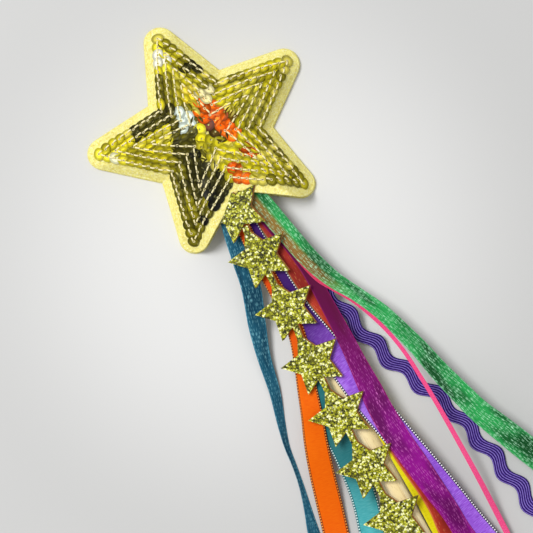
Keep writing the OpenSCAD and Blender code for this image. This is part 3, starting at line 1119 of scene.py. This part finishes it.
@dataclass
class SequinRows:
    """Rows of lapped sequins on the star, each held by a chain of thread."""

    form: StarForm
    rows: int = 4
    tint_seed: int = 11
    turn_seed: int = 5
    tips: tuple[float, ...] = (40.9, 34.3, 27.8, 21.3, 14.8)
    notches: tuple[float, ...] = (18.8, 14.6, 10.6, 6.7, 3.0)
    steps: tuple[int, ...] = (9, 8, 6, 5, 4)
    sequin_r: float = 2.5
    hole_r: float = 0.42
    cup: float = 0.1
    film: float = 0.1
    lap_tilt: float = 0.1
    row_tilt: float = 0.09
    lift: float = 0.6
    sides: int = 14
    flat_share: float = 0.93
    turned_most: float = 1.2
    ring_r: float = 0.44
    thread_r: float = 0.15
    bar_r: float = 0.33
    bar_rise: float = 0.3
    bar_arch: float = 0.15
    ring_lift: float = 0.08
    bar_from: float = 0.22
    # rim_shade: painted shade on each sequin's rim.
    rim_shade: float = 0.6
    # sheen: painted sheen, each sequin brighter towards one side.
    sheen: float = 0.2
    # gleam and bright_side: painted light, so the sequins are brighter on one side of the star.
    gleam: float = 0.22
    uneven: float = 1.0
    # lit_share, lit_from, lit_full and lit: painted highlights on some lighter sequins.
    lit_share: float = 0.2
    lit_from: float = 0.2
    lit_full: float = 0.6
    lit: str = "#fff06a"
    bright_side: tuple[float, float] = (0.88, -0.475)
    ground: str = "#c2b618"
    # row_shades: painted light and shade, a brightness for each row.
    row_shades: tuple[float, ...] = (0.84, 1.06, 1.2, 1.15)
    # Painted reflections: dark, olive, orange and lime patches set as the sequins' own tints.
    patches: list[Patch] = field(default_factory=lambda: [
        Patch(-17.0, -21.0, 17.0, 9.0, 54, "#4c480a", 0.82),
        Patch(-8.4, 2.5, 11.5, 5.6, 66, "#12120a", 0.92),
        Patch(-16.5, 13.6, 9.5, 2.8, 4, "#141408", 0.94),
        Patch(-11.0, -13.0, 9.0, 4.2, 54, "#12120a", 0.9),
        Patch(-6.2, -20.8, 7.8, 2.8, 37, "#060604"),
        Patch(-17.0, -27.3, 2.2, 2.2, 0, "#0a0a06"),
        Patch(7.0, 26.0, 4.4, 2.6, -40, "#0e0e06"),
        Patch(-5.6, 21.5, 8.0, 3.4, -93, "#3e3a08", 0.75),
        Patch(5.8, 2.8, 10.2, 4.2, -68, "#ff600c", 0.96),
        Patch(3.4, -0.5, 4.0, 1.6, -66, "#4a2006", 0.9),
        Patch(9.4, 5.6, 6.5, 1.2, -66, "#6a2a06", 0.8),
        Patch(11.2, -14.6, 3.4, 1.6, -75, "#e04a08"),
        Patch(3.6, -19.6, 3.6, 2.8, -60, "#f05c0a"),
        Patch(21.0, 2.0, 9.0, 5.0, 70, "#dcd244", 0.6),
    ])
    # Painted flashes: white and yellow glints set as the tints of a few sequins.
    flashes: list[Patch] = field(default_factory=lambda: [
        Patch(-2.2, 34.2, 5.4, 3.0, 90, "#f6ec34"),
        Patch(-2.8, 33.2, 2.5, 2.2, 0, "#fffff0"),
        Patch(1.3, 16.9, 2.4, 2.2, 0, "#ffe030"),
        Patch(6.7, 13.9, 2.4, 2.2, 0, "#fff4b4"),
        Patch(-5.6, 8.0, 5.4, 3.2, 50, "#e6f4e8"),
        Patch(-36.2, 9.6, 7.0, 2.9, -31, "#fdf03a"),
        Patch(-35.6, 9.2, 2.4, 2.0, 0, "#ffffd8"),
    ])

    def _loop(self, row: int) -> np.ndarray:
        """Corners of a row's star, whose points and notches lie nearer to the middle from row to row.

        Args:
            row: The row's number, from 1.

        Returns:
            Ten corners, points and notches in turn, and the first again.
        """
        corner = np.arange(2 * self.form.points + 1)
        angle = math.pi / self.form.points * corner
        r = np.where(corner % 2 == 0, self.tips[row - 1], self.notches[row - 1])
        return np.stack(self.form.warp(r * np.sin(angle), r * np.cos(angle)), -1)

    def _count(self, row: int) -> int:
        """Sequins along a row's star."""
        return 2 * self.form.points * self.steps[row - 1]

    def _line(self, row: int) -> tuple[np.ndarray, np.ndarray]:
        """Places of a row's sequins, evenly spaced along each edge of its star.

        Args:
            row: The row's number, from 1.

        Returns:
            Places and the steps on to the next ones, on the flat, in millimetres.
        """
        corners = self._loop(row)
        t = np.arange(self._count(row)) / self.steps[row - 1]
        here = np.stack([np.interp(t, np.arange(len(corners)), corners[:, k]) for k in (0, 1)], -1)
        return here, np.roll(here, -1, axis=0) - here

    def _seats(self, row: int) -> tuple[np.ndarray, np.ndarray, np.ndarray]:
        """Seats of a row's sequins on the felt; the last row also has those that fill the star's middle.

        Args:
            row: The row's number, from 1.

        Returns:
            Middles, axes and steps on to the next ones, in millimetres.
        """
        lines = [self._line(k) for k in ((row,) if row < self.rows else range(row, len(self.tips) + 1))]
        place, step = (np.concatenate([line[k] for line in lines]) for k in (0, 1))
        heading = step / np.linalg.norm(step, axis=1, keepdims=True)
        x, y = place.T
        axis = self.form.normal(x, y)
        out = np.stack([-heading[:, 1], heading[:, 0]], -1)
        axis[:, :2] += self.row_tilt * out - self.lap_tilt * heading
        axis /= np.linalg.norm(axis, axis=1, keepdims=True)
        foot = np.stack([x, y, self.form.outside(x, y)], -1)
        return foot + axis * self.lift, axis, np.column_stack([step, np.zeros(len(x))])

    @staticmethod
    def _spread(middle: np.ndarray, axis: np.ndarray, heading: np.ndarray, shape: np.ndarray) -> np.ndarray:
        """Copies of a small shape, each on its own axes: along the heading, beside it and along the axis.

        Args:
            middle: Middles of the copies.
            axis: Their axes.
            heading: Their headings.
            shape: Points of the shape.

        Returns:
            Copies by points by three, in millimetres.
        """
        side = np.cross(axis, heading)
        side /= np.linalg.norm(side, axis=1, keepdims=True)
        front = np.cross(side, axis)
        return (middle[:, None] + shape[None, :, :1] * front[:, None] + shape[None, :, 1:2] * side[:, None]
                + shape[None, :, 2:] * axis[:, None])

    def _tints(self, row: int, middle: np.ndarray, step: np.ndarray) -> np.ndarray:
        """Tint of each sequin: the ground colour with painted light and shade, and painted reflections over
        it.

        The result is made uneven, some lighter sequins get painted highlights, and painted flashes come last.

        Args:
            row: The row's number, from 1.
            middle: Middles of the sequins.
            step: Their steps on to the next ones.

        Returns:
            A colour for each sequin.
        """
        count = len(middle)
        draw = np.random.default_rng(self.tint_seed + count)
        tint = np.tile(np.array(hue(self.ground)), (count, 1))
        # Painted light: brighter on the star's bright_side, with a painted brightness for each row.
        aside = step[:, 0] * self.bright_side[1] - step[:, 1] * self.bright_side[0]
        facing = aside / np.hypot(step[:, 0], step[:, 1])
        tint[:, :3] *= self.row_shades[row - 1] * (1 - self.gleam * facing)[:, None]
        # Patches of painted reflection.
        for patch in self.patches:
            self._dab(tint, middle, patch, draw)
        tint[:, :3] *= 1 + self.uneven * (draw.random((count, 1)) - 0.5)
        # Painted highlights on some lighter sequins.
        lit = (draw.random(count) < self.lit_share) & (tint[:, 1] > self.lit_from)
        tint[lit] += self.lit_full * (np.array(hue(self.lit)) - tint[lit])
        # Painted flashes, laid over everything else.
        for patch in self.flashes:
            self._dab(tint, middle, patch, draw)
        return tint

    @staticmethod
    def _dab(tint: np.ndarray, middle: np.ndarray, patch: Patch, draw: np.random.Generator) -> None:
        """Paints a patch's reflection or flash on the sequins whose middles lie in it, with a ragged edge.

        Args:
            tint: Colours of the sequins, which are changed.
            middle: Middles of the sequins.
            patch: The patch.
            draw: Where the raggedness is drawn from.
        """
        a = math.radians(patch.turn)
        dx, dy = middle[:, 0] - patch.x, middle[:, 1] - patch.y
        u = (dx * math.cos(a) + dy * math.sin(a)) / patch.long
        v = (dy * math.cos(a) - dx * math.sin(a)) / patch.wide
        near = np.hypot(u, v) * (1 - patch.ragged / 2 + patch.ragged * draw.random(len(middle)))
        share = patch.full * (near < 1.0) * (1 - patch.worn + patch.worn * draw.random(len(middle)))
        tint += share[:, None] * (np.array(hue(patch.colour)) - tint)

    def _discs(self, row: int) -> bpy.types.Object:
        """Sequins of a row: a cupped disc with a hole, whose profile is turned round its axis.

        Each has a painted sheen towards one side of its own, and painted shade on its rim.

        Args:
            row: The row's number, from 1.

        Returns:
            The piece.
        """
        middle, axis, step = self._seats(row)
        n, count = self.sides, len(middle)
        turn = np.linspace(0, 2 * math.pi, n, endpoint=False)
        r = np.array([self.hole_r, self.flat_share * self.sequin_r, self.sequin_r, self.hole_r])
        z = np.array([self.film, self.film, self.film + self.cup, 0.0])
        shape = np.stack([r[:, None] * np.cos(turn), r[:, None] * np.sin(turn), z[:, None] + 0 * turn], -1)
        points = self._spread(middle, axis, step, shape.reshape(-1, 3)) * MM
        one = grid_faces(len(r) + 1, n, True) % (len(r) * n)
        faces = (one[None] + len(r) * n * np.arange(count)[:, None, None]).reshape(-1, 4)
        tint = self._tints(row, middle, step)[:, None].repeat(len(r) * n, 1)
        # Painted sheen: each sequin brighter towards a side of its own.
        draw = np.random.default_rng(self.turn_seed + count)
        turned = draw.uniform(-self.turned_most, self.turned_most, (count, 1, 1))
        across = r[:, None] / self.sequin_r * np.cos(turn - turned)
        tint[..., :3] *= 1 + self.sheen * across.reshape(count, -1, 1)
        # Painted shade on the rim.
        tint[:, 2 * n:3 * n, :3] *= 1 - self.rim_shade
        return add_piece(f"sequins_{row}", points, list(faces), True, tint=tint.reshape(-1, 4), smooth=False)

    def _chain(self, row: int) -> bpy.types.Object:
        """Thread of a row: a ring round each hole, and an arched bar on to the next one.

        Args:
            row: The row's number, from 1.

        Returns:
            The piece.
        """
        middle, axis, step = (part[:self._count(row)] for part in self._seats(row))
        seat = middle + axis * (self.film + self.ring_lift)
        each = np.arange(len(seat))[:, None, None]
        rounds, tube = 8, 4
        big, small = np.meshgrid(np.linspace(0, 2 * math.pi, rounds, endpoint=False),
                                 np.linspace(0, 2 * math.pi, tube, endpoint=False), indexing="ij")
        out = self.ring_r + self.thread_r * np.cos(small)
        ring = np.stack([out * np.cos(big), out * np.sin(big), self.thread_r * np.sin(small)], -1)
        rings = self._spread(seat, axis, step, ring.reshape(-1, 3))
        one = grid_faces(rounds + 1, tube, True) % (rounds * tube)
        faces = list((one + rounds * tube * each).reshape(-1, 4))
        lead = step - axis * (step * axis).sum(1, keepdims=True)
        long = np.linalg.norm(lead, axis=1)[:, None, None]
        lead = lead[:, None] / long
        stops, sides = 4, 5
        t = np.linspace(0, 1, stops)[None, :, None]
        line = seat[:, None] + lead * long * (self.bar_from + t * (1 - 2 * self.bar_from))
        line = line + axis[:, None] * (self.bar_rise + self.bar_arch * np.sin(math.pi * t))
        side = np.cross(axis, lead[:, 0])
        around = np.linspace(0, 2 * math.pi, sides, endpoint=False)[None, None, :, None]
        bars = line[:, :, None] + self.bar_r * (np.cos(around) * side[:, None, None]
                                                + np.sin(around) * axis[:, None, None])
        first = rounds * tube * len(seat) + stops * sides * each
        ends = np.stack([np.arange(sides), stops * sides - 1 - np.arange(sides)])
        faces += list((grid_faces(stops, sides, True) + first).reshape(-1, 4))
        faces += list((ends + first).reshape(-1, sides))
        points = np.concatenate([rings.reshape(-1, 3), bars.reshape(-1, 3)]) * MM
        return add_piece(f"chain_{row}", points, faces, True)

    def build(self) -> list[bpy.types.Object]:
        """Makes the rows and their threads.

        Returns:
            The pieces.
        """
        film, thread = SequinFinish().paint("sequin"), ThreadFinish().paint("thread")
        made = []
        for row in range(1, self.rows + 1):
            discs, chain = self._discs(row), self._chain(row)
            stand_in(discs, film, "wand", f"sequins_row_{row}")
            stand_in(chain, thread, "wand", f"stitches_row_{row}")
            made += [discs, chain]
        return made


# Ribbons


class Form(Enum):
    """What a strip is: a sheet or a cord."""

    SHEET = "sheet"
    CORD = "cord"


@dataclass
class Lay:
    """A strip's layers on the stick and the table, and where it comes down, in millimetres from the tack."""

    on_stick: int
    on_table: int
    down_from: float
    down_to: float


@dataclass
class Strip:
    """One ribbon or braid: its route in millimetres with the share of its width there, and its make."""

    node: str
    slot: str
    route: list[tuple[float, float, float]]
    lay: Lay
    width: float
    finish: Finish
    form: Form = Form.SHEET
    thick: float = 0.2
    sway: float = 0.0
    period: float = 15.75
    gathers: bool = False


@dataclass
class RibbonBunch:
    """Strips that start under one tack on the stick and lie down over the table."""

    strips: list[Strip]
    tack: tuple[float, float] = (-1.2, -10.0)
    stack_base: float = 9.4
    floor_gap: float = 0.15
    braid_layer: float = 0.6
    ribbon_layer: float = 0.3
    tab_len: float = 4.0
    tab_w: float = 4.5
    end_slant: float = 0.6
    points_across: int = 13
    points_a_span: int = 10
    sway_from: float = 16.0
    bow: float = 0.08
    bow_from: float = 110.0
    bow_over: float = 50.0
    pleats: int = 24
    pleat_from: float = 62.0
    pleat_over: float = 22.0
    fold_keep: float = 0.8
    loft: tuple[float, ...] = (0.4, 0.4, 0.5, 0.6, 0.6, 0.5, 0.7)
    wave_len: float = 31.0
    wave_more: float = 5.3
    wave_shift: float = 2.1
    wave_from: float = 128.0
    wave_over: float = 40.0

    def _layer(self, base: float, k: int) -> float:
        """Underside of a layer of a stack that has the ric-rac at the bottom."""
        return base + (0.0 if k == 0 else self.braid_layer + (k - 1) * self.ribbon_layer)

    @staticmethod
    def _curve(points: np.ndarray, steps: int) -> np.ndarray:
        """Smooth curve through points: on each span, the cubic whose slopes are set by the points beside it.

        Args:
            points: Points, with any number of values each.
            steps: Steps in a span.

        Returns:
            Points of the curve.
        """
        a = points[np.maximum(np.arange(len(points) - 1) - 1, 0)][:, None]
        b, c = points[:-1][:, None], points[1:][:, None]
        d = points[np.minimum(np.arange(len(points) - 1) + 2, len(points) - 1)][:, None]
        t = (np.arange(steps) / steps)[None, :, None]
        span = 0.5 * (2 * b + (c - a) * t + (2 * a - 5 * b + 4 * c - d) * t ** 2
                      + (3 * b - a - 3 * c + d) * t ** 3)
        return np.concatenate([span.reshape(-1, points.shape[1]), points[-1:]])

    def _height(self, strip: Strip, x: np.ndarray, y: np.ndarray) -> np.ndarray:
        """Height of a strip's middle, from the distance to the tack: on the stick, then eased to the table.

        Each table layer adds its own slow waves to those of the layers under it, so none dips into another.

        Args:
            strip: The strip.
            x: Places across the wand.
            y: Places along the wand.

        Returns:
            The heights.
        """
        r = np.hypot(x - self.tack[0], y - self.tack[1])
        lay = strip.lay
        high = self._layer(self.stack_base, lay.on_stick)
        low = self._layer(self.floor_gap, lay.on_table)
        z = high - (high - low) * ease((r - lay.down_from) / (lay.down_to - lay.down_from))
        k = np.arange(lay.on_table + 1)
        length, shift = self.wave_len + self.wave_more * k, self.wave_shift * k
        rise = np.array(self.loft)[k] * 0.5 * (1 + np.sin(r[..., None] * 2 * math.pi / length + shift))
        return z + strip.thick / 2 + rise.sum(-1) * ease((r - self.wave_from) / self.wave_over)

    def _strip(self, strip: Strip) -> bpy.types.Object:
        """Band carried along a strip's route: points across it by its width there, swayed with it.

        A strip that gathers keeps its width in narrow pleats where its route is narrower than it is.

        Args:
            strip: The strip.

        Returns:
            The piece.
        """
        tab = self.tab_w / strip.width
        head = [(self.tack[0], self.tack[1] + self.tab_len, tab), (self.tack[0], self.tack[1], tab)]
        line = self._curve(np.array(head + list(strip.route)), self.points_a_span)
        run = np.concatenate([[0], np.cumsum(np.linalg.norm(np.diff(line[:, :2], axis=0), axis=1))])
        heading = np.gradient(line[:, :2], axis=0)
        heading /= np.linalg.norm(heading, axis=1, keepdims=True)
        side = np.stack([-heading[:, 1], heading[:, 0]], -1)
        sway = strip.sway * np.sin(2 * math.pi * run / strip.period) * ease(run / self.sway_from - 1)
        middle = line[:, :2] + side * sway[:, None]
        v = np.linspace(-1, 1, self.pleats + 1 if strip.gathers else self.points_across)
        share = line[:, 2]
        reach = (strip.width / 2 * share)[:, None] * v
        ahead = np.zeros_like(reach)
        ahead[-1] = self.end_slant * reach[-1]
        x = middle[:, :1] + side[:, :1] * reach + heading[:, :1] * ahead
        y = middle[:, 1:] + side[:, 1:] * reach + heading[:, 1:] * ahead
        bow = self.bow * (1 - v ** 2) * (ease((run - self.bow_from) / self.bow_over) * share)[:, None]
        z = self._height(strip, x, y) + bow
        if strip.gathers:
            fold = strip.width / self.pleats * self.fold_keep * np.sqrt(np.maximum(1 - share ** 2, 0))
            fold *= ease((run - self.pleat_from) / self.pleat_over)
            z = z + fold[:, None] * (np.arange(len(v)) % 2)
        points = np.stack([x, y, z], -1) * MM
        cloth = np.stack(np.broadcast_arrays(run[:, None], v * strip.width / 2), -1)
        faces = list(grid_faces(len(run), len(v)))
        piece = add_piece(f"{strip.node}_woven", points, faces, False, cloth=cloth)
        body = piece.modifiers.new("thickness", "SOLIDIFY")
        body.thickness = strip.thick * MM
        body.offset = 0.0
        body.use_even_offset = False
        stand_in(piece, strip.finish.paint(strip.slot), strip.node, strip.node)
        self._declare(piece, strip, points[:, len(v) // 2], float(run[-1]))
        return piece

    @staticmethod
    def _declare(piece: bpy.types.Object, strip: Strip, path: np.ndarray, run: float) -> None:
        """Does nothing: no strip is declared here.

        Args:
            piece: The strip's piece. Not used.
            strip: The strip. Not used.
            path: Points along its middle, in metres. Not used.
            run: Length of its route, in millimetres. Not used.
        """

    def build(self) -> list[bpy.types.Object]:
        """Makes every strip, the cords first.

        Returns:
            The pieces.
        """
        order = sorted(self.strips, key=lambda s: s.form is not Form.CORD)
        return [self._strip(strip) for strip in order]


def bunch() -> RibbonBunch:
    """The wand's ten strips, from the bottom of the stack up.

    Returns:
        The bunch, not built yet.
    """
    narrow, wide = 10.0, 11.5
    return RibbonBunch([
        Strip("ric_rac", "purple", [
            (2.8, -24, 0.7), (5.6, -44, 0.8), (8.8, -62, 1), (11.6, -76, 1), (14.8, -90, 1),
            (18.8, -104, 1), (24.2, -118, 1), (30.6, -133, 1), (34.8, -147, 1), (38.4, -163, 1),
            (41.2, -178, 1), (43.6, -195, 1), (45.2, -216, 1)],
            Lay(0, 0, 55, 115), 5.8, BraidFinish(), Form.CORD, 0.5, sway=1.5),
        Strip("yellow_ribbon", "yellow", [
            (2, -24, 0.4), (4.6, -40, 0.45), (5.8, -52, 0.46), (6.2, -64, 0.5), (6.8, -76, 0.58),
            (6.8, -90, 0.7), (6.9, -104, 0.8), (7, -118, 0.9), (7.3, -132, 0.95), (7.8, -146, 1),
            (8.2, -160, 1), (8.2, -176, 1), (8.2, -195, 1), (8.2, -216, 1)],
            Lay(1, 1, 126, 200), narrow,
            SatinFinish("#e0d40c", "#c0b004", "#f2ea30", narrow, Edge.PLAIN)),
        Strip("copper_ribbon", "copper", [
            (0.8, -24, 0.4), (2.8, -40, 0.45), (4, -50, 0.45), (4.7, -61, 0.58), (5.3, -68, 0.62),
            (6.6, -76, 0.64), (8.2, -86, 0.62), (8.6, -98, 0.66), (8.4, -112, 0.8), (8, -128, 0.95),
            (9, -145, 1), (10.6, -160, 1), (11, -169, 1), (10.2, -178, 1), (9.4, -192, 1),
            (8.6, -208, 1), (8.6, -226, 1)],
            Lay(2, 2, 126, 200), narrow,
            OrganzaFinish("#b83a28", "#86221a", "#f0a060", narrow, amount=0.28, edge="#e08c50",
                          edge_share=0.6, root="#a02c2a", root_from=62.0, root_to=40.0, root_share=0.8)),
        Strip("teal_ribbon", "teal", [
            (-6.2, -24, 0.6), (-9, -36, 0.72), (-11.2, -48, 0.76), (-13.4, -60, 0.76),
            (-18.3, -74, 0.68), (-21.8, -86, 0.52), (-24.6, -100, 0.42), (-28.2, -112, 0.3),
            (-30.5, -121, 0.2), (-31.5, -129, 0.16), (-32.8, -137, 0.18), (-34.9, -146, 0.28),
            (-37.2, -155, 0.45), (-40.5, -170, 0.7), (-43, -188, 0.9), (-44, -208, 1),
            (-43.6, -228, 1)],
            Lay(3, 0, 28, 110), narrow,
            OrganzaFinish("#1b566e", "#0f3c52", "#8ed8e6", narrow, amount=0.58, edge="#3f8fae",
                          edge_share=0.5), gathers=True),
        Strip("turquoise_ribbon", "turquoise", [
            (-2, -26, 0.5), (-2.4, -45, 0.6), (-2.9, -61, 0.7), (-3.6, -75, 0.75), (-5.6, -90, 0.8),
            (-9.4, -104, 0.9), (-11, -118, 1), (-11.4, -133, 1), (-12.6, -146, 1), (-14.2, -155, 1),
            (-17, -165, 1), (-20.5, -178, 1), (-24, -195, 1), (-27, -214, 1), (-28.5, -230, 1)],
            Lay(4, 1, 100, 150), narrow,
            SatinFinish("#5ac0c6", "#2a949a", "#84d8d8", narrow, edge_ground="#0f5a62", edge_dot="#d8f4f2",
                        dot_r=0.28, root="#0e545c", root_from=170.0, root_to=118.0, root_share=0.82)),
        Strip("lavender_ribbon", "lavender", [
            (-2.2, -24, 0.45), (-2.6, -42, 0.55), (-2.6, -62, 0.72), (-1.8, -76, 0.85),
            (0.6, -90, 0.95), (3.5, -104, 1), (5.2, -116, 1), (7.8, -129, 1), (10.7, -143, 1),
            (13.2, -155, 1), (15.4, -166, 1), (17.6, -178, 1), (20.2, -190, 1), (23.4, -205, 1),
            (26.4, -222, 1), (28.4, -236, 1)],
            Lay(5, 3, 126, 200), wide,
            SatinFinish("#9858d6", "#6a36aa", "#b486f2", wide, rib=0.5,
                        root="#30085a", root_from=104.0, root_to=66.0, root_share=0.94)),
        Strip("orange_ribbon", "orange", [
            (-3.4, -24, 0.45), (-5, -40, 0.55), (-5.4, -55, 0.6), (-5.3, -70, 0.62), (-6.2, -83, 0.66),
            (-9.3, -94, 0.7), (-12.8, -104, 0.76), (-16.1, -114, 0.84), (-19.7, -124, 0.92),
            (-23.1, -135, 0.97), (-26.3, -147, 1), (-29.3, -158, 1), (-33, -170, 1), (-37, -186, 1),
            (-40.5, -205, 1), (-43, -222, 1)],
            Lay(6, 2, 100, 155), narrow,
            SatinFinish("#ea6402", "#de4e00", "#f27408", narrow, edge_ground="#6a1c08", edge_dot="#ffa850",
                        dot_r=0.28, depth=0.5, root="#d83c08", root_from=90.0, root_to=60.0, root_share=0.7)),
        Strip("magenta_ribbon", "magenta", [
            (1.2, -26, 0.45), (5.2, -45, 0.44), (7.4, -54, 0.44), (9, -65, 0.5), (9.3, -79, 0.56),
            (9.2, -95, 0.64), (8.8, -106, 0.74), (8.5, -116, 0.88), (8.2, -127, 0.95), (9, -139, 0.95),
            (10.4, -150, 0.92), (11.8, -162, 0.84), (13, -171, 0.76), (13.6, -180, 0.74),
            (14.3, -192, 0.95), (15.5, -206, 1), (16.6, -222, 1), (17.4, -236, 1)],
            Lay(7, 4, 126, 200), narrow,
            OrganzaFinish("#8c1086", "#600a58", "#e070cc", narrow, amount=0.56, edge="#a82a78",
                          edge_share=0.5, root="#560432", root_from=135.0, root_to=70.0, root_share=0.92,
                          spark_from=80.0)),
        Strip("pink_ribbon", "pink", [
            (2.6, -24, 0.5), (5.4, -40, 0.5), (6.8, -52, 0.5), (7.8, -60, 0.5), (10.2, -69, 0.5),
            (14, -75.5, 0.52), (18.3, -82.5, 0.55), (21.6, -90, 0.58), (24.6, -99, 0.62),
            (26.6, -109, 0.65), (27.6, -121, 0.68), (28.2, -133, 0.72), (28.6, -150, 0.8),
            (28.8, -170, 0.88), (28.6, -190, 0.95), (28, -210, 1), (27, -232, 1)],
            Lay(8, 5, 126, 200), 2.4, VelvetFinish(), Form.CORD),
        Strip("green_ribbon", "green", [
            (3.6, -24, 0.66), (5.7, -34, 0.8), (8.5, -47, 0.78), (11.4, -60, 0.76), (15.6, -71.5, 0.66),
            (20.9, -81, 0.56), (25.9, -91, 0.6), (28.6, -98.7, 0.63), (32, -110, 0.68),
            (34.8, -122, 0.76), (38, -133, 0.83), (40.9, -142.5, 0.88), (45, -152, 0.95),
            (49.3, -162, 1), (54, -173, 1), (59, -187, 1), (63, -204, 1), (65.5, -224, 1)],
            Lay(9, 6, 126, 200), narrow,
            OrganzaFinish("#2a9c4e", "#104a22", "#b8fcce", narrow, amount=0.78, edge="#62c47e",
                          edge_share=0.4, root="#94622c", root_from=82.0, root_to=50.0, root_share=0.85,
                          left_only=True)),
    ])


# Stick and star trim


@dataclass
class HardParts:
    """Pieces that keep their solids: the stick, the tack, and the star trim with its backing."""

    finishes: dict[str, tuple[tuple[str, ...], Finish]] = field(default_factory=lambda: {
        "wood": (("dowel",), WoodFinish()),
        "steel": (("ribbon_tack",), SteelFinish()),
        "glitter": (("trim_top_star", "trim_stars"), GlitterFinish()),
        "backing": (("trim_top_backing", "trim_backing"), CardFinish()),
    })

    def build(self) -> list[bpy.types.Object]:
        """Dresses the solids.

        Returns:
            The solids.
        """
        made = []
        for slot, (nodes, finish) in self.finishes.items():
            material = finish.paint(slot)
            for name in nodes:
                dress(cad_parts[name], material)
                made.append(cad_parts[name])
        return made


# Studio


@dataclass
class Studio:
    """Camera straight above the wand, a pale floor with a painted pool of light, one soft key lamp and an
    even sky.
    """

    middle: tuple[float, float] = (-4.3, -55.6)
    turn: float = -28.36
    view_w: float = 205.0
    view_z: float = 8.0
    height: float = 900.0
    sensor: float = 36.0
    # floor_hue, floor_far, floor_spot and floor_fade: a painted pool of light round floor_spot, darker
    # towards floor_far.
    floor_hue: str = "#dcdcdb"
    floor_far: str = "#c3c3c2"
    floor_spot: tuple[float, float] = (-3.5, -49.0)
    floor_fade: tuple[float, float] = (0.03, 0.125)
    floor_side: float = 3.0
    floor_drop: float = 0.00005
    key_place: tuple[float, float, float] = (-0.48, 0.25, 1.2)
    key_power: float = 13.5
    key_size: float = 0.42
    sky_hue: str = "#ffffff"
    sky: float = 0.5
    backdrop: str = "#e2e2e0"

    def camera(self) -> None:
        """Puts the camera over the photographed part, turned as the photograph is."""
        data = bpy.data.cameras.new("camera")
        data.sensor_width = self.sensor
        data.lens = self.sensor * (self.height - self.view_z) / self.view_w
        data.clip_end = 10.0
        lens = bpy.data.objects.new("camera", data)
        lens.location = (self.middle[0] * MM, self.middle[1] * MM, self.height * MM)
        lens.rotation_euler = (0.0, 0.0, math.radians(self.turn))
        bpy.context.scene.collection.objects.link(lens)
        bpy.context.scene.camera = lens

    def _floor(self) -> None:
        """Makes the floor with a painted pool of light round the wand, a little darker away from it."""
        p = Paint("floor")
        spot = (self.floor_spot[0] * MM, self.floor_spot[1] * MM, 0.0)
        far = p.node("ShaderNodeVectorMath", {"operation": "DISTANCE"}, {0: p.place(), 1: spot}, out="Value")
        # Painted pool of light round the wand.
        colour = p.mix(far.fade(*self.floor_fade), hue(self.floor_hue), hue(self.floor_far))
        corners = np.array([[-1, -1, 0], [1, -1, 0], [1, 1, 0], [-1, 1, 0]]) * self.floor_side
        floor = add_piece("floor", corners - np.array([0, 0, self.floor_drop]), [[0, 1, 2, 3]], False)
        dress(floor, p.finish(Base_Color=colour, Roughness=0.9))

    def _key(self) -> None:
        """Hangs the key lamp over the picture's upper left and aims it at the picture's middle."""
        lamp = bpy.data.lights.new("key", "AREA")
        lamp.energy = self.key_power
        lamp.size = self.key_size
        key = bpy.data.objects.new("key", lamp)
        a = math.radians(self.turn)
        right, up, height = self.key_place
        key.location = (self.middle[0] * MM + right * math.cos(a) - up * math.sin(a),
                        self.middle[1] * MM + right * math.sin(a) + up * math.cos(a), height)
        aim = np.array([self.middle[0] * MM, self.middle[1] * MM, 0.0]) - np.array(key.location)
        key.rotation_euler = (math.atan2(math.hypot(aim[0], aim[1]), -aim[2]), 0.0,
                              math.atan2(aim[1], aim[0]) - math.pi / 2)
        bpy.context.scene.collection.objects.link(key)

    def _sky(self) -> None:
        """Makes an even sky, which is seen and reflected as the backdrop."""
        world = bpy.data.worlds.new("sky")
        p = Paint("sky", world)
        ray = p.node("ShaderNodeLightPath", out="Is Camera Ray")
        looked_at = ray.most(ray.beside("Is Glossy Ray")).most(ray.beside("Is Transmission Ray"))
        light = p.node("ShaderNodeBackground", None, {0: hue(self.sky_hue), 1: self.sky})
        seen = p.node("ShaderNodeBackground", None, {0: hue(self.backdrop), 1: 1.0})
        both = p.node("ShaderNodeMixShader", None, {0: looked_at, 1: light, 2: seen})
        p.close("ShaderNodeOutputWorld", both)
        bpy.context.scene.world = world

    def build(self) -> None:
        """Makes the floor, the lamp and the sky, and shows colours as they are."""
        self._floor()
        self._key()
        self._sky()
        bpy.context.scene.view_settings.view_transform = "Standard"


def main() -> None:
    """Builds the wand's looks in order and reports each piece."""
    logging.basicConfig(level=logging.INFO, format="%(name)s: %(message)s")
    studio = Studio()
    studio.camera()
    form = StarForm()
    for maker in (bunch(), FeltStar(form), SequinRows(form), HardParts()):
        for piece in maker.build():
            log.info("%s: %s, %d faces", type(maker).__name__, piece.name, len(piece.data.polygons))
    studio.build()


if __name__ == "__main__":
    main()
